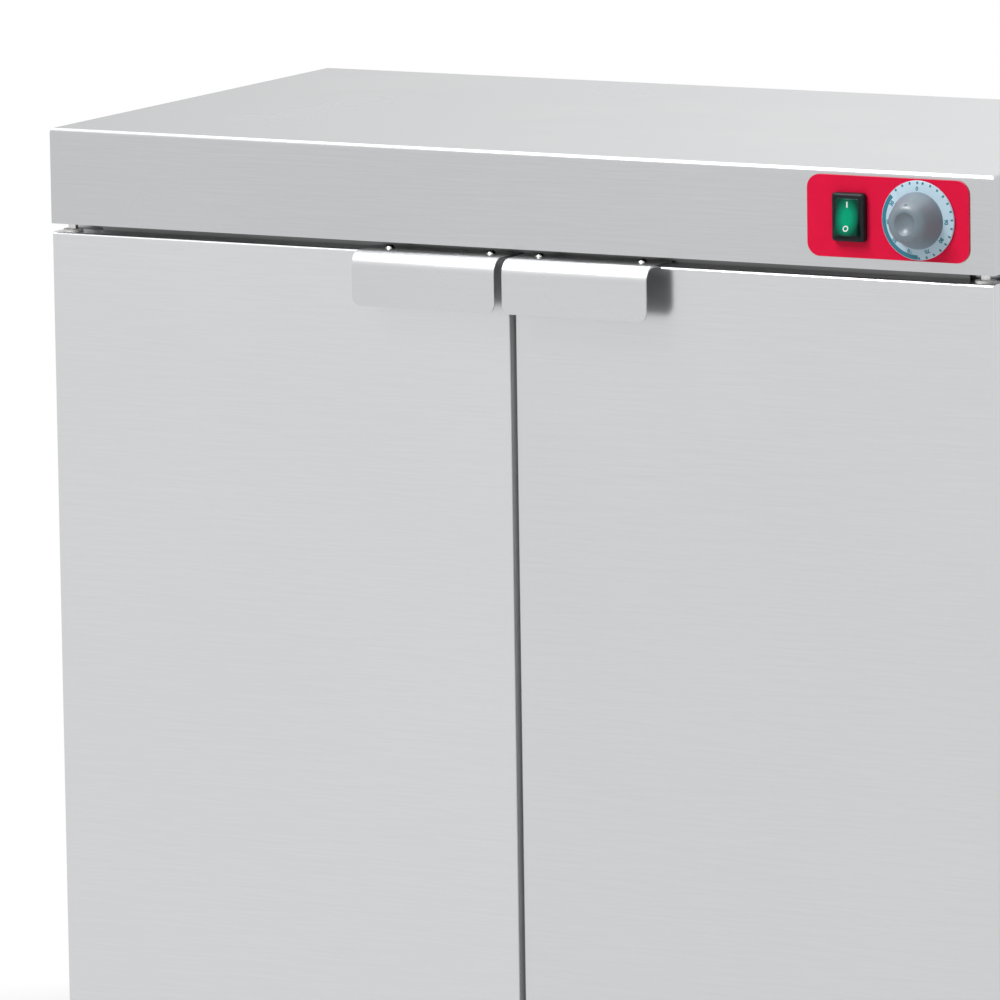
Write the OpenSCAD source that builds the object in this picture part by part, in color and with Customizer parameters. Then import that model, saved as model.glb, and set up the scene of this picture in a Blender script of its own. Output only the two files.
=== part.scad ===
// Two-door hot cupboard in folded stainless sheet: insulated body, swing doors on
// pivot pins, hooked sheet handles, tubular heater, rod shelf and a thermostat panel.
// Origin on the floor under the middle of the whole object, +Z up, doors facing -Y.

/* [Cabinet] */
// Width across the worktop
cabinet_w = 850; // [760:10:1100]
// Depth of the worktop, apron face to rear skirt
cabinet_d = 460; // [420:10:650]
// Height of the worktop above the floor
cabinet_h = 850; // [780:10:950]
// Height of the body's underside above the floor
body_z = 100; // [90:1:140]
// Sheet thickness of the body panels, liners and doors
panel_t = 1; // [0.8:0.1:1.5]
// Outer bend radius of the folded panels
panel_bend_r = 2.5; // [2:0.1:4]
// Thickness of the insulated wall behind the chamber
back_wall_t = 25; // [20:1:50]
// Thickness of the insulated floor under the chamber
base_h = 28; // [24:1:45]
// Thickness of the insulated roof over the chamber
roof_h = 27.5; // [24:0.5:45]

/* [Worktop] */
// Height of the apron and skirts
apron_h = 78.5; // [72:0.5:110]
// Sheet thickness of the worktop
top_t = 1.5; // [1:0.1:2]
// Outer bend radius along the top edges
top_bend_r = 4; // [2.5:0.5:6]
// Height of the closed hem along the lower edge
hem_h = 12; // [8:1:20]
// Height of the hat stiffeners under the top
stiffener_h = 20; // [10:1:30]

/* [Doors] */
// Thickness of a door
door_t = 24; // [20:1:32]
// Gap between apron and doors
door_top_gap = 7; // [6:0.5:12]
// Gap between the two doors
door_centre_gap = 4.5; // [3:0.5:8]
// Rise of the doors' lower edge over the body's underside
door_bottom_rise = 6; // [5:0.5:12]
// Gap between the back of a door and the front of the jambs
door_jamb_gap = 1.5; // [1.2:0.1:3]
// Distance of the pivot axis from the door's outer edge
pivot_inset = 13.5; // [11:0.5:18]
// Diameter of the pivot pins
pivot_pin_d = 8; // [6:0.5:10]

/* [Handles] */
// Length of a handle along the door
handle_l = 129; // [100:0.5:180]
// Reach of a handle in front of the door
handle_reach = 23.5; // [18:0.5:32]
// Height of a handle's front, from the top of the strip to the lip's lower edge
handle_front_h = 43.5; // [32:0.5:66]
// Thickness of the handle strip
handle_t = 1.5; // [1:0.1:2]

/* [Controls] */
// Width of the coloured control plate
plate_w = 140; // [125:1:200]
// Height of the control plate
plate_h = 64.5; // [56:0.5:66]
// Distance of the knob axis from the right end of the apron
knob_inset = 64; // [60:1:150]
// Reach of the knob in front of the apron
knob_reach = 27; // [25:0.5:36]
// Diameter of the knob at its base
knob_base_d = 45; // [42:0.5:52]
// Diameter across the rounded front of the knob
knob_dome_d = 34; // [30:0.5:40]
// Diameter of the dial skirt round the knob
skirt_d = 62.5; // [56:0.5:64]
// Distance between the switch and the knob axis
switch_spacing = 59; // [55:1:80]

/* [Legs] */
// Outer diameter of the leg tubes
leg_d = 40; // [34:1:48]
// Distance of the leg axes from the body's side panels
leg_inset = 36; // [36:1:80]
// Diameter of the foot pads
foot_d = 38; // [32:1:48]
// Diameter of the feet's screw stems
foot_stem_d = 12; // [10:1:16]

/* [Chamber] */
// Height of the shelf above the chamber floor
shelf_rise = 321; // [240:1:380]
// Spacing of the shelf rods
shelf_pitch = 34; // [24:1:50]
// Diameter of the heating tube
heater_d = 8.5; // [6.5:0.5:10]
// Height of the heating tube above the chamber floor
heater_rise = 21; // [16:1:26]
// Height of the slotted baffle over the heater
baffle_rise = 43; // [36:1:60]

/* [Hidden] */
$fn = 48;
// Overrun of every cut past the face that it opens
overrun = 1;
// Clearance between parts that are fitted by hand
fit = 0.2;
// Clearance round insulation slabs, wide enough to clear the bends of the pans
slab_gap_share = 0.32;
slab_gap = slab_gap_share * (panel_bend_r - panel_t);
// Radial running clearance of the pins, shaft and screw stems
run_gap = 0.05;
// Free space kept round the swinging edge of a door, and the step its radius is rounded up to
swing_gap = 1.5;
swing_step = 0.5;

// Swing and fit of the doors
hinge_swing_r = swing_step * ceil(norm([pivot_inset, door_t / 2]) / swing_step);
half_w = cabinet_w / 2;
pivot_x = half_w - pivot_inset;

// Reach of the cable gland behind the body
gland_hex_t = 5;
gland_nut_l = 15;
gland_reach = gland_hex_t + gland_nut_l;
gland_thread_d = 20;
gland_bore_d = 10;
gland_hex_d = 28;
gland_nut_front_d = 25;
gland_nut_end_d = 17;
gland_locknut_d = 30;
gland_locknut_t = 5;
gland_inset = 125;
gland_x = gland_inset - half_w;

// Planes of the body, with the whole depth from handles or knob to gland centred
front_reach = max(knob_reach, handle_reach);
front_y = (front_reach - gland_reach - cabinet_d) / 2;
back_y = front_y + cabinet_d;
mid_y = front_y + cabinet_d / 2;
pivot_y = front_y + door_t / 2;
body_front_y = pivot_y + hinge_swing_r + swing_gap;
body_back_y = back_y - panel_t;
jamb_y = front_y + door_t + door_jamb_gap;
apron_z = cabinet_h - apron_h;
deck_z = apron_z - panel_t;
pan_t = pivot_inset + hinge_swing_r + swing_gap;
inner_half_w = half_w - pan_t;
jamb_w = 10;
liner_half_w = inner_half_w - jamb_w;
liner_back_y = body_back_y - back_wall_t;
floor_z = body_z + base_h + panel_t;
ceiling_z = apron_z - roof_h;
jamb_drop = 16;

// Doors
door_top_z = apron_z - door_top_gap;
door_bottom_z = body_z + door_bottom_rise;
door_h = door_top_z - door_bottom_z;
door_w = half_w - door_centre_gap / 2;
door_x = half_w - door_w / 2;
door_z = door_bottom_z + door_h / 2;
door_liner_flange = 8;
door_core_end_gap = 24;

// Pivots and their bushes
bush_d = 12;
bush_flange_d = 16;
bush_flange_t = 2;
bush_l = 18;
pivot_plate_t = 3;
pivot_plate_back = 46;
pivot_plate_edge = 1;
pivot_pin_depth = 20;
pivot_collar_d = 15;
pivot_screw_d = 5;
pivot_screw_head_d = 9;
pivot_screw_head_h = 3;
pivot_screw_pitch = 22;
pivot_screw_setback = 10;

// Handles
handle_gap = 1.25;
handle_tab_l = 22;
handle_bend_r = 12;
handle_corner_r = 7.5;
handle_screw_inset = 18.5;
handle_screw_setback = 7;
handle_screw_d = 4;
handle_screw_head_d = 8.5;
handle_screw_head_h = 3.2;
handle_screw_l = 6;
handle_inner_x = door_centre_gap / 2 + handle_gap;
handle_x = handle_inner_x + handle_l / 2;

// Controls: distances in front of the apron are counted outwards
control_rise = 1.5;
control_z = apron_z + apron_h / 2 + control_rise;
plate_t = 1.5;
plate_r = 11;
knob_x = half_w - knob_inset;
knob_margin = 43;
plate_x = knob_x + knob_margin - plate_w / 2;
switch_x = knob_x - switch_spacing;
bezel_w = 28.5;
bezel_h = 38.5;
bezel_d = 6;
bezel_r = 3;
switch_wall = 1.5;
switch_depth = 24;
rocker_w = 20;
rocker_r = 15.5;
rocker_corner_r = 3;
rocker_gap = 0.3;
rocker_tilt = 9;
rocker_middle = 4;
rocker_keel = 2;
rocker_pivot_d = 3;
rocker_well = 5.5;
rocker_proud = 0.5;
switch_body_w = rocker_w + 2 * (rocker_gap + switch_wall);
switch_body_h = 2 * (rocker_r + rocker_gap + switch_wall);
rocker_axis_d = plate_t + bezel_d + rocker_proud - rocker_middle;
skirt_gap = 0.5;
skirt_t = 3;
skirt_rim_t = 1.4;
knob_hub_d = 14;
knob_base_y = plate_t + skirt_gap + skirt_t;
knob_dimple_d = 18;
knob_dimple_depth = 4;
knob_round_r = (knob_dome_d - knob_dimple_d) / 2;
knob_dome_y = knob_reach - knob_round_r;
// Angle at which the knob's tapered side runs into its rounded front
knob_side_run = [(knob_base_d - knob_dimple_d) / 2, knob_dome_y - knob_base_y];
knob_side_angle = acos(knob_round_r / norm(knob_side_run)) - atan2(knob_side_run[1], knob_side_run[0]);
knob_spot_d = 2.4;
knob_spot_angle = 45;
shaft_d = 6;
shaft_flat_share = 0.25;
shaft_knob_l = 12;
shaft_body_l = 12;
thermostat_w = 46;
thermostat_d = 26;
thermostat_neck_d = 10;

// Chamber fittings
rail_leg = 15;
rail_t = 1.5;
rail_end_gap = 30;
shelf_frame_d = 8;
shelf_rod_d = 5;
shelf_side_gap = 6;
shelf_end_gap = 34;
shelf_z = floor_z + shelf_rise;
heater_loops = 4;
heater_pitch = 84;
heater_front_gap = 50;
heater_back_gap = 40;
heater_pin_d = 4;
heater_pin_l = 10;
heater_tail = 8;
heater_z = floor_z + heater_rise;
heater_bend_r = heater_pitch / 2;
heater_end_x = (2 * heater_loops - 1) * heater_pitch / 2;
heater_front_y = jamb_y + heater_front_gap + heater_bend_r;
heater_back_y = liner_back_y - heater_back_gap - heater_bend_r;
support_t = 2;
support_front_share = 0.3;
support_back_share = 0.75;
baffle_side_gap = 12;
baffle_end_gap = 16;
baffle_slots_x = 8;
baffle_slots_y = 4;
baffle_slot_l = 56;
baffle_slot_w = 10;
bulb_d = 6.5;
bulb_l = 90;
bulb_drop = 9;
bulb_setback = 60;
capillary_d = 2;
catch_w = 44;
catch_h = 14;
catch_l = 18;
catch_x = 40;
catch_gap = 0.3;
strike_t = 1;
strike_w = 46;

// Legs and feet
leg_wall = 1.5;
leg_plate_w = 66;
leg_plate_t = 3;
leg_front_setback = 86;
leg_back_setback = 59;
leg_end_z = 24;
leg_nut_l = 16;
leg_bolt_d = 6;
leg_bolt_head_d = 10;
leg_bolt_head_h = 4;
leg_bolt_inset = 7;
foot_pad_h = 7;
foot_pad_r = 2;
foot_hex_d = 26;
foot_hex_h = 9;
foot_stem_l = 62;
leg_x = inner_half_w - leg_inset;
leg_rows = [body_front_y + leg_front_setback, body_back_y - leg_back_setback];

// Back panel screws
back_screw_d = 4;
back_screw_head_d = 8;
back_screw_head_h = 2.4;
back_screw_inset = 12;
back_screw_rows = 4;

// Wiring in the space under the worktop
wire_d = 3;
wire_rise = 8;
wire_z = apron_z + wire_rise;
block_l = 60;
block_w = 24;
block_h = 20;
block_setback = 60;
block_hole_d = 4;
block_y = back_y - block_setback;
duct_w = 30;
duct_y = liner_back_y + panel_t + back_wall_t / 2;

// Stiffeners under the worktop
stiffener_w = 60;
stiffener_brim = 14;
stiffener_end_gap = 40;
stiffener_front_share = 0.36;
stiffener_back_share = 0.7;

steel = "#c9cccf";
inner_steel = "#b9bcbf";
dark = "#20242a";
nylon = "#f2f2ee";

// Outline that stands on the X axis and has its two upper corners rounded
module bent_outline(w, h, r) {
    translate([-w / 2, 0]) square([w, h - r]);
    translate([r - w / 2, 0]) square([w - 2 * r, h]);
    for (side = [-1, 1])
        translate([side * (w / 2 - r), h - r]) circle(r);
}

// Centred rectangle with four rounded corners
module soft_rect(w, h, r) {
    square([w - 2 * r, h], center = true);
    square([w, h - 2 * r], center = true);
    for (x = [-1, 1], y = [-1, 1])
        translate([x * (w / 2 - r), y * (h / 2 - r)]) circle(r);
}

// Centred slot with round ends, long in X
module slot(l, w) {
    square([l - w, w], center = true);
    for (x = [-1, 1])
        translate([x * (l - w) / 2, 0]) circle(d = w);
}

// Block whose four upper edges are cylindrical bends, mitred at the corners
module folded_block(w, d, h, r) {
    intersection() {
        rotate([90, 0, 0]) linear_extrude(d, center = true) bent_outline(w, h, r);
        rotate([90, 0, 90]) linear_extrude(w, center = true) bent_outline(d, h, r);
    }
}

// Sheet tray with its face up and its flanges down
module folded_pan(w, d, h, r, t) {
    difference() {
        folded_block(w, d, h, r);
        translate([0, 0, -overrun])
            folded_block(w - 2 * t, d - 2 * t, h - t + overrun, r - t);
    }
}

// Plain box between two corners
module box(low, high) {
    translate(low) cube(high - low);
}

// Screw with a domed head that stands on z = 0 and a plain shank below it
module dome_screw(head_d, head_h, shank_d, shank_l) {
    cap_r = (head_h * head_h + head_d * head_d / 4) / (2 * head_h);
    intersection() {
        translate([0, 0, head_h - cap_r]) sphere(cap_r);
        cylinder(d = 2 * head_d, h = 2 * head_h);
    }
    translate([0, 0, -shank_l]) cylinder(d = shank_d, h = shank_l);
}

// Round rod from one point to another
module rod(from, to, d) {
    run = to - from;
    translate(from)
        rotate([0, acos(run[2] / norm(run)), atan2(run[1], run[0])])
            cylinder(d = d, h = norm(run));
}

// Rods along a route, with a ball at each bend
module routed(points, d) {
    for (i = [1 : len(points) - 1])
        rod(points[i - 1], points[i], d);
    for (i = [1 : 1 : len(points) - 2])
        translate(points[i]) sphere(d = d);
}

// Places a control on the apron: local z counts outwards from its face
module on_apron(x) {
    translate([x, front_y, control_z]) rotate([90, 0, 0]) children();
}

// Openings of the switch and thermostat through plate and apron
module control_cuts() {
    cut_l = top_t + plate_t + 2 * overrun;
    on_apron(switch_x) translate([0, 0, -top_t - overrun]) linear_extrude(cut_l)
        square([switch_body_w + 2 * fit, switch_body_h + 2 * fit], center = true);
    on_apron(knob_x) translate([0, 0, -top_t - overrun])
        cylinder(d = thermostat_neck_d + 2 * fit, h = cut_l);
}

// Axis of the cable gland, local z pointing backwards out of the rear skirt
module on_gland() {
    translate([gland_x, back_y, control_z]) rotate([-90, 0, 0]) children();
}

module worktop() {
    clear_w = cabinet_w - 2 * top_t;
    clear_d = cabinet_d - 2 * top_t;
    color(steel) difference() {
        translate([0, mid_y, apron_z])
            folded_block(cabinet_w, cabinet_d, apron_h, top_bend_r);
        translate([0, mid_y, apron_z + hem_h])
            folded_block(clear_w, clear_d, apron_h - hem_h - top_t, top_bend_r - top_t);
        translate([0, mid_y, apron_z - overrun]) linear_extrude(hem_h + 2 * overrun)
            square([clear_w - 2 * top_t, clear_d - 2 * top_t], center = true);
        control_cuts();
        on_gland() translate([0, 0, -top_t - overrun])
            cylinder(d = gland_thread_d + 2 * fit, h = top_t + 2 * overrun);
    }
}

// Hat section with its brims up against the underside of the worktop
module stiffener() {
    run = cabinet_w - 2 * stiffener_end_gap;
    rotate([90, 0, 90]) linear_extrude(run, center = true) {
        translate([0, -stiffener_h]) difference() {
            translate([0, stiffener_h]) mirror([0, 1])
                bent_outline(stiffener_w - 2 * stiffener_brim, stiffener_h, panel_bend_r);
            translate([0, stiffener_h + overrun]) mirror([0, 1])
                bent_outline(stiffener_w - 2 * stiffener_brim - 2 * panel_t,
                    stiffener_h - panel_t + overrun, panel_bend_r - panel_t);
        }
        for (side = [-1, 1])
            translate([side * (stiffener_w - stiffener_brim) / 2, -panel_t / 2])
                square([stiffener_brim, panel_t], center = true);
    }
}

module worktop_stiffeners() {
    color(inner_steel)
        for (share = [stiffener_front_share, stiffener_back_share])
            translate([0, front_y + share * cabinet_d, cabinet_h - top_t]) stiffener();
}

// Places of the pivot screws on one side, as [x, y]
function pivot_screw_places(side) = [
    for (i = [0, 1]) [side * pivot_x, body_front_y + pivot_screw_setback + i * pivot_screw_pitch]
];

// Places of the back panel's screws on one side, as [x, z]
function back_screw_places(side) = [
    for (i = [0 : back_screw_rows - 1]) [
        side * (half_w - back_screw_inset),
        body_z + back_screw_inset
            + i * (deck_z - body_z - 2 * back_screw_inset) / (back_screw_rows - 1)
    ]
];

// Outer pan of one side, with all four edges folded inwards
module side_panel(side) {
    body_h = apron_z - body_z;
    body_d = body_back_y - body_front_y;
    color(steel) difference() {
        translate([side * inner_half_w, body_front_y + body_d / 2, body_z + body_h / 2])
            rotate([0, side * 90, 0])
                folded_pan(body_h, body_d, pan_t, panel_bend_r, panel_t);
        for (place = pivot_screw_places(side))
            translate([place[0], place[1], body_z - overrun])
                cylinder(d = pivot_screw_d + 2 * fit, h = body_h + 2 * overrun);
        for (place = back_screw_places(side))
            translate([place[0], body_back_y - panel_t - overrun, place[1]])
                rotate([-90, 0, 0])
                    cylinder(d = back_screw_d + 2 * fit, h = panel_t + 2 * overrun);
    }
}

module back_panel() {
    color(steel) difference() {
        box([-half_w, body_back_y, body_z], [half_w, back_y, apron_z]);
        for (side = [-1, 1], place = back_screw_places(side))
            translate([place[0], body_back_y - overrun, place[1]]) rotate([-90, 0, 0])
                cylinder(d = back_screw_d + 2 * fit, h = panel_t + 2 * overrun);
    }
}

module back_screws() {
    color(steel)
        for (side = [-1, 1], place = back_screw_places(side))
            translate([place[0], back_y, place[1]]) rotate([-90, 0, 0])
                dome_screw(back_screw_head_d, back_screw_head_h, back_screw_d, 2 * panel_t);
}

// Places of the bolts of the four leg plates, as [x, y]
function leg_bolt_places() = [
    for (side = [-1, 1], row = leg_rows, i = [-1, 1], j = [-1, 1]) [
        side * leg_x + i * (leg_plate_w / 2 - leg_bolt_inset),
        row + j * (leg_plate_w / 2 - leg_bolt_inset)
    ]
];

// Open tray between the side panels, which carries the legs
module base_panel() {
    base_d = body_back_y - body_front_y;
    color(inner_steel) difference() {
        translate([0, body_front_y + base_d / 2, body_z + base_h]) rotate([180, 0, 0])
            folded_pan(2 * inner_half_w, base_d, base_h, panel_bend_r, panel_t);
        for (place = leg_bolt_places())
            translate([place[0], place[1], body_z - overrun])
                cylinder(d = leg_bolt_d + 2 * fit, h = panel_t + 2 * overrun);
    }
}

// Sheet that closes the top of the body under the controls
module top_deck() {
    color(inner_steel) difference() {
        box([-inner_half_w, jamb_y, deck_z], [inner_half_w, body_back_y, apron_z]);
        translate([knob_x, front_y + bulb_setback, deck_z - overrun])
            cylinder(d = capillary_d + 2 * fit, h = panel_t + 2 * overrun);
        for (side = [-1, 1])
            translate([side * heater_end_x, duct_y, deck_z - overrun])
                cylinder(d = wire_d + 2 * fit, h = panel_t + 2 * overrun);
    }
}

// Side wall of the chamber with its front jamb and the return to the side panel
module liner_side(side) {
    color(inner_steel)
        mirror([side < 0 ? 1 : 0, 0, 0]) translate([0, 0, floor_z])
            linear_extrude(ceiling_z - floor_z) {
                translate([liner_half_w, jamb_y])
                    square([panel_t, liner_back_y - jamb_y]);
                translate([liner_half_w, jamb_y]) square([jamb_w, panel_t]);
                translate([inner_half_w - panel_t, jamb_y])
                    square([panel_t, body_front_y + panel_t - jamb_y]);
            }
}

module liner_back() {
    color(inner_steel) difference() {
        box([-liner_half_w - panel_t, liner_back_y, floor_z],
            [liner_half_w + panel_t, liner_back_y + panel_t, ceiling_z]);
        for (side = [-1, 1])
            translate([side * heater_end_x, liner_back_y - overrun, heater_z])
                rotate([-90, 0, 0])
                    cylinder(d = heater_d + 2 * fit, h = panel_t + 2 * overrun);
    }
}

// Roof of the chamber, turned up in front as the rail over the doors
module liner_top() {
    color(inner_steel) difference() {
        union() {
            box([-liner_half_w - panel_t, jamb_y, ceiling_z],
                [liner_half_w + panel_t, liner_back_y + panel_t, ceiling_z + panel_t]);
            box([-inner_half_w, jamb_y, ceiling_z], [inner_half_w, jamb_y + panel_t, deck_z]);
            box([-inner_half_w, jamb_y, deck_z - panel_t],
                [inner_half_w, body_front_y + panel_t, deck_z]);
        }
        translate([knob_x, front_y + bulb_setback, ceiling_z - overrun])
            cylinder(d = capillary_d + 2 * fit, h = panel_t + 2 * overrun);
    }
}

// Floor of the chamber, turned down in front as the sill under the doors
module liner_floor() {
    sill_z = floor_z - jamb_drop;
    color(inner_steel) {
        box([-liner_half_w - panel_t, jamb_y, floor_z - panel_t],
            [liner_half_w + panel_t, liner_back_y + panel_t, floor_z]);
        box([-inner_half_w, jamb_y, sill_z], [inner_half_w, jamb_y + panel_t, floor_z]);
        box([-inner_half_w, jamb_y, sill_z], [inner_half_w, body_front_y, sill_z + panel_t]);
    }
}

// Mineral wool in the two sides, back, roof and floor
module insulation_slabs() {
    side_in = liner_half_w + panel_t + slab_gap;
    side_out = half_w - panel_t - slab_gap;
    slab_front = body_front_y + panel_t + slab_gap;
    slab_back = body_back_y - panel_t - slab_gap;
    color("#d8c98a") {
        for (side = [-1, 1]) mirror([side < 0 ? 1 : 0, 0, 0])
            box([side_in, slab_front, floor_z + slab_gap],
                [side_out, slab_back, deck_z - panel_t - slab_gap]);
        difference() {
            box([-side_in + 2 * slab_gap, liner_back_y + panel_t + slab_gap, floor_z + slab_gap],
                [side_in - 2 * slab_gap, slab_back, deck_z - slab_gap]);
            for (side = [-1, 1])
                translate([side * heater_end_x - duct_w / 2, liner_back_y, floor_z])
                    cube([duct_w, back_wall_t, deck_z]);
        }
        difference() {
            box([-liner_half_w, body_front_y + panel_t + slab_gap, ceiling_z + panel_t + slab_gap],
                [liner_half_w, liner_back_y + panel_t - slab_gap, deck_z - slab_gap]);
            translate([knob_x, front_y + bulb_setback, ceiling_z])
                cylinder(d = capillary_d + 2 * slab_gap, h = roof_h);
        }
        box([panel_t + slab_gap - inner_half_w, slab_front, body_z + panel_t + slab_gap],
            [inner_half_w - panel_t - slab_gap, slab_back, floor_z - panel_t - slab_gap]);
    }
}

// Half turn of the heating tube, open towards +Y
module heater_bend() {
    rotate([0, 0, 180]) rotate_extrude(angle = 180)
        translate([heater_bend_r, 0]) circle(d = heater_d);
}

// Tubular element: runs along Y joined by half turns, with both ends through the back
module heating_element() {
    tail_y = liner_back_y + panel_t + heater_tail;
    color("#4a4d50") translate([0, 0, heater_z]) {
        for (i = [0 : 2 * heater_loops - 1]) {
            x = i * heater_pitch - heater_end_x;
            last = i == 0 || i == 2 * heater_loops - 1;
            rod([x, heater_front_y, 0], [x, last ? tail_y : heater_back_y, 0], heater_d);
        }
        for (i = [0 : heater_loops - 1])
            translate([2 * i * heater_pitch - heater_end_x + heater_bend_r, heater_front_y, 0])
                heater_bend();
        for (i = [1 : heater_loops - 1])
            translate([2 * i * heater_pitch - heater_end_x - heater_bend_r, heater_back_y, 0])
                rotate([0, 0, 180]) heater_bend();
        for (side = [-1, 1])
            rod([side * heater_end_x, tail_y, 0],
                [side * heater_end_x, tail_y + heater_pin_l, 0], heater_pin_d);
    }
}

// Two notched strips on edge that carry the heating tube
module element_supports() {
    color(inner_steel)
        for (share = [support_front_share, support_back_share])
            translate([0, heater_front_y + share * (heater_back_y - heater_front_y), 0])
                difference() {
                    translate([-heater_end_x - heater_pitch / 4, -support_t / 2, floor_z])
                        cube([2 * heater_end_x + heater_pitch / 2, support_t, heater_rise]);
                    for (i = [0 : 2 * heater_loops - 1])
                        translate([i * heater_pitch - heater_end_x, 0, heater_z])
                            rotate([90, 0, 0])
                                cylinder(d = heater_d + fit, h = 2 * support_t, center = true);
                }
}

// Slotted cover over the heater, standing on its two long flanges
module baffle_plate() {
    baffle_w = 2 * (liner_half_w - baffle_side_gap);
    baffle_front = jamb_y + baffle_end_gap;
    baffle_d = liner_back_y - baffle_end_gap - baffle_front;
    step_x = baffle_w / baffle_slots_x;
    step_y = baffle_d / baffle_slots_y;
    color(inner_steel) difference() {
        translate([0, baffle_front + baffle_d / 2, floor_z]) rotate([90, 0, 90])
            linear_extrude(baffle_w, center = true) difference() {
                bent_outline(baffle_d, baffle_rise, panel_bend_r);
                translate([0, -overrun])
                    bent_outline(baffle_d - 2 * panel_t, baffle_rise - panel_t + overrun,
                        panel_bend_r - panel_t);
            }
        for (i = [0 : baffle_slots_x - 1], j = [0 : baffle_slots_y - 1])
            translate([(2 * i + 1) * step_x / 2 - baffle_w / 2, baffle_front + (2 * j + 1) * step_y / 2,
                floor_z + baffle_rise - panel_t - overrun])
                linear_extrude(panel_t + 2 * overrun)
                    slot(baffle_slot_l, baffle_slot_w);
        for (side = [-1, 1]) {
            notch_w = heater_d + 4 * fit;
            translate([side * heater_end_x, liner_back_y, heater_z]) rotate([90, 0, 0])
                cylinder(d = notch_w, h = 2 * baffle_end_gap);
            translate([side * heater_end_x - notch_w / 2, liner_back_y - 2 * baffle_end_gap,
                floor_z - overrun])
                cube([notch_w, 2 * baffle_end_gap, heater_rise + overrun]);
        }
    }
}

// Angle on the chamber wall that carries one end of the shelf
module shelf_rail(side) {
    rail_front = jamb_y + rail_end_gap;
    rail_l = liner_back_y - rail_end_gap - rail_front;
    color(inner_steel) mirror([side < 0 ? 1 : 0, 0, 0])
        translate([liner_half_w, rail_front + rail_l, shelf_z]) rotate([90, 0, 0])
            linear_extrude(rail_l) {
                translate([-rail_leg, -rail_t]) square([rail_leg, rail_t]);
                translate([-rail_t, -rail_leg]) square([rail_t, rail_leg]);
            }
}

// Rod shelf: a bent frame with thinner rods across it
module shelf() {
    frame_x = liner_half_w - shelf_side_gap - shelf_frame_d / 2;
    frame_front = jamb_y + shelf_end_gap;
    frame_back = liner_back_y - shelf_end_gap;
    rod_z = shelf_z + shelf_frame_d / 2;
    count = floor((2 * frame_x - shelf_frame_d) / shelf_pitch);
    color("#d5d8da") {
        for (y = [frame_front, frame_back])
            rod([-frame_x, y, rod_z], [frame_x, y, rod_z], shelf_frame_d);
        for (x = [-frame_x, frame_x]) {
            rod([x, frame_front, rod_z], [x, frame_back, rod_z], shelf_frame_d);
            for (y = [frame_front, frame_back])
                translate([x, y, rod_z]) sphere(d = shelf_frame_d);
        }
        for (i = [0 : count - 1]) {
            x = (i - (count - 1) / 2) * shelf_pitch;
            rod([x, frame_front, rod_z], [x, frame_back, rod_z], shelf_rod_d);
        }
    }
}

// Thermostat bulb under the roof of the chamber, with its capillary from the thermostat
module sensor_bulb() {
    bulb_y = front_y + bulb_setback;
    bulb_z = ceiling_z - bulb_drop;
    bulb_x = knob_x - 2 * bulb_d;
    color("#b87a4a") {
        routed([
            [knob_x, front_y + top_t + thermostat_d, control_z],
            [knob_x, bulb_y, control_z],
            [knob_x, bulb_y, bulb_z],
            [bulb_x, bulb_y, bulb_z]
        ], capillary_d);
        rod([bulb_x, bulb_y, bulb_z], [bulb_x - bulb_l, bulb_y, bulb_z], bulb_d);
    }
}

module thermostat_body() {
    color("#d9d4c4") on_apron(knob_x) difference() {
        union() {
            translate([0, 0, -top_t - thermostat_d]) linear_extrude(thermostat_d)
                soft_rect(thermostat_w, thermostat_w, panel_bend_r);
            translate([0, 0, -top_t - thermostat_d])
                cylinder(d = thermostat_neck_d, h = top_t + plate_t + thermostat_d);
        }
        translate([0, 0, -shaft_body_l])
            cylinder(d = shaft_d + 2 * run_gap, h = shaft_body_l + plate_t + overrun);
    }
}

// D-shaped section of the shaft
module shaft_section() {
    intersection() {
        circle(d = shaft_d);
        translate([-shaft_d, -shaft_d])
            square([2 * shaft_d, shaft_d + shaft_flat_share * shaft_d]);
    }
}

module thermostat_shaft() {
    color("silver") on_apron(knob_x) {
        translate([0, 0, -shaft_body_l]) cylinder(d = shaft_d, h = shaft_body_l + plate_t + skirt_gap);
        translate([0, 0, plate_t + skirt_gap]) linear_extrude(skirt_t + shaft_knob_l) shaft_section();
    }
}

// Tapered knob with a rounded front, a finger dimple and an index spot above it
module knob() {
    dimple_r = (knob_dimple_depth * knob_dimple_depth + knob_dimple_d * knob_dimple_d / 4)
        / (2 * knob_dimple_depth);
    crown_r = knob_dimple_d / 2;
    shoulder_r = crown_r + knob_round_r * cos(knob_side_angle);
    shoulder_h = knob_round_r * sin(knob_side_angle);
    color("#78899a") on_apron(knob_x) difference() {
        union() {
            rotate_extrude() {
                polygon([
                    [0, knob_base_y], [knob_base_d / 2, knob_base_y], [shoulder_r, knob_dome_y + shoulder_h],
                    [crown_r, knob_dome_y], [crown_r, knob_reach], [0, knob_reach]
                ]);
                translate([crown_r, knob_dome_y]) circle(knob_round_r);
            }
            translate([0, 0, plate_t + skirt_gap]) cylinder(d = knob_hub_d, h = skirt_t);
        }
        translate([0, 0, knob_reach - knob_dimple_depth + dimple_r]) sphere(dimple_r);
        translate([0, crown_r + knob_round_r * sin(knob_spot_angle),
            knob_dome_y + knob_round_r * cos(knob_spot_angle)]) sphere(d = knob_spot_d);
        translate([0, 0, plate_t + skirt_gap - overrun])
            linear_extrude(skirt_t + shaft_knob_l + overrun) shaft_section();
    }
}

// Dial skirt: a shallow cone under the knob
module knob_skirt() {
    color("#bcd4e6") on_apron(knob_x) translate([0, 0, plate_t + skirt_gap]) rotate_extrude()
        polygon([
            [knob_hub_d / 2, 0], [skirt_d / 2, 0], [skirt_d / 2, skirt_rim_t],
            [knob_base_d / 2, skirt_t], [knob_hub_d / 2, skirt_t]
        ]);
}

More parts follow.
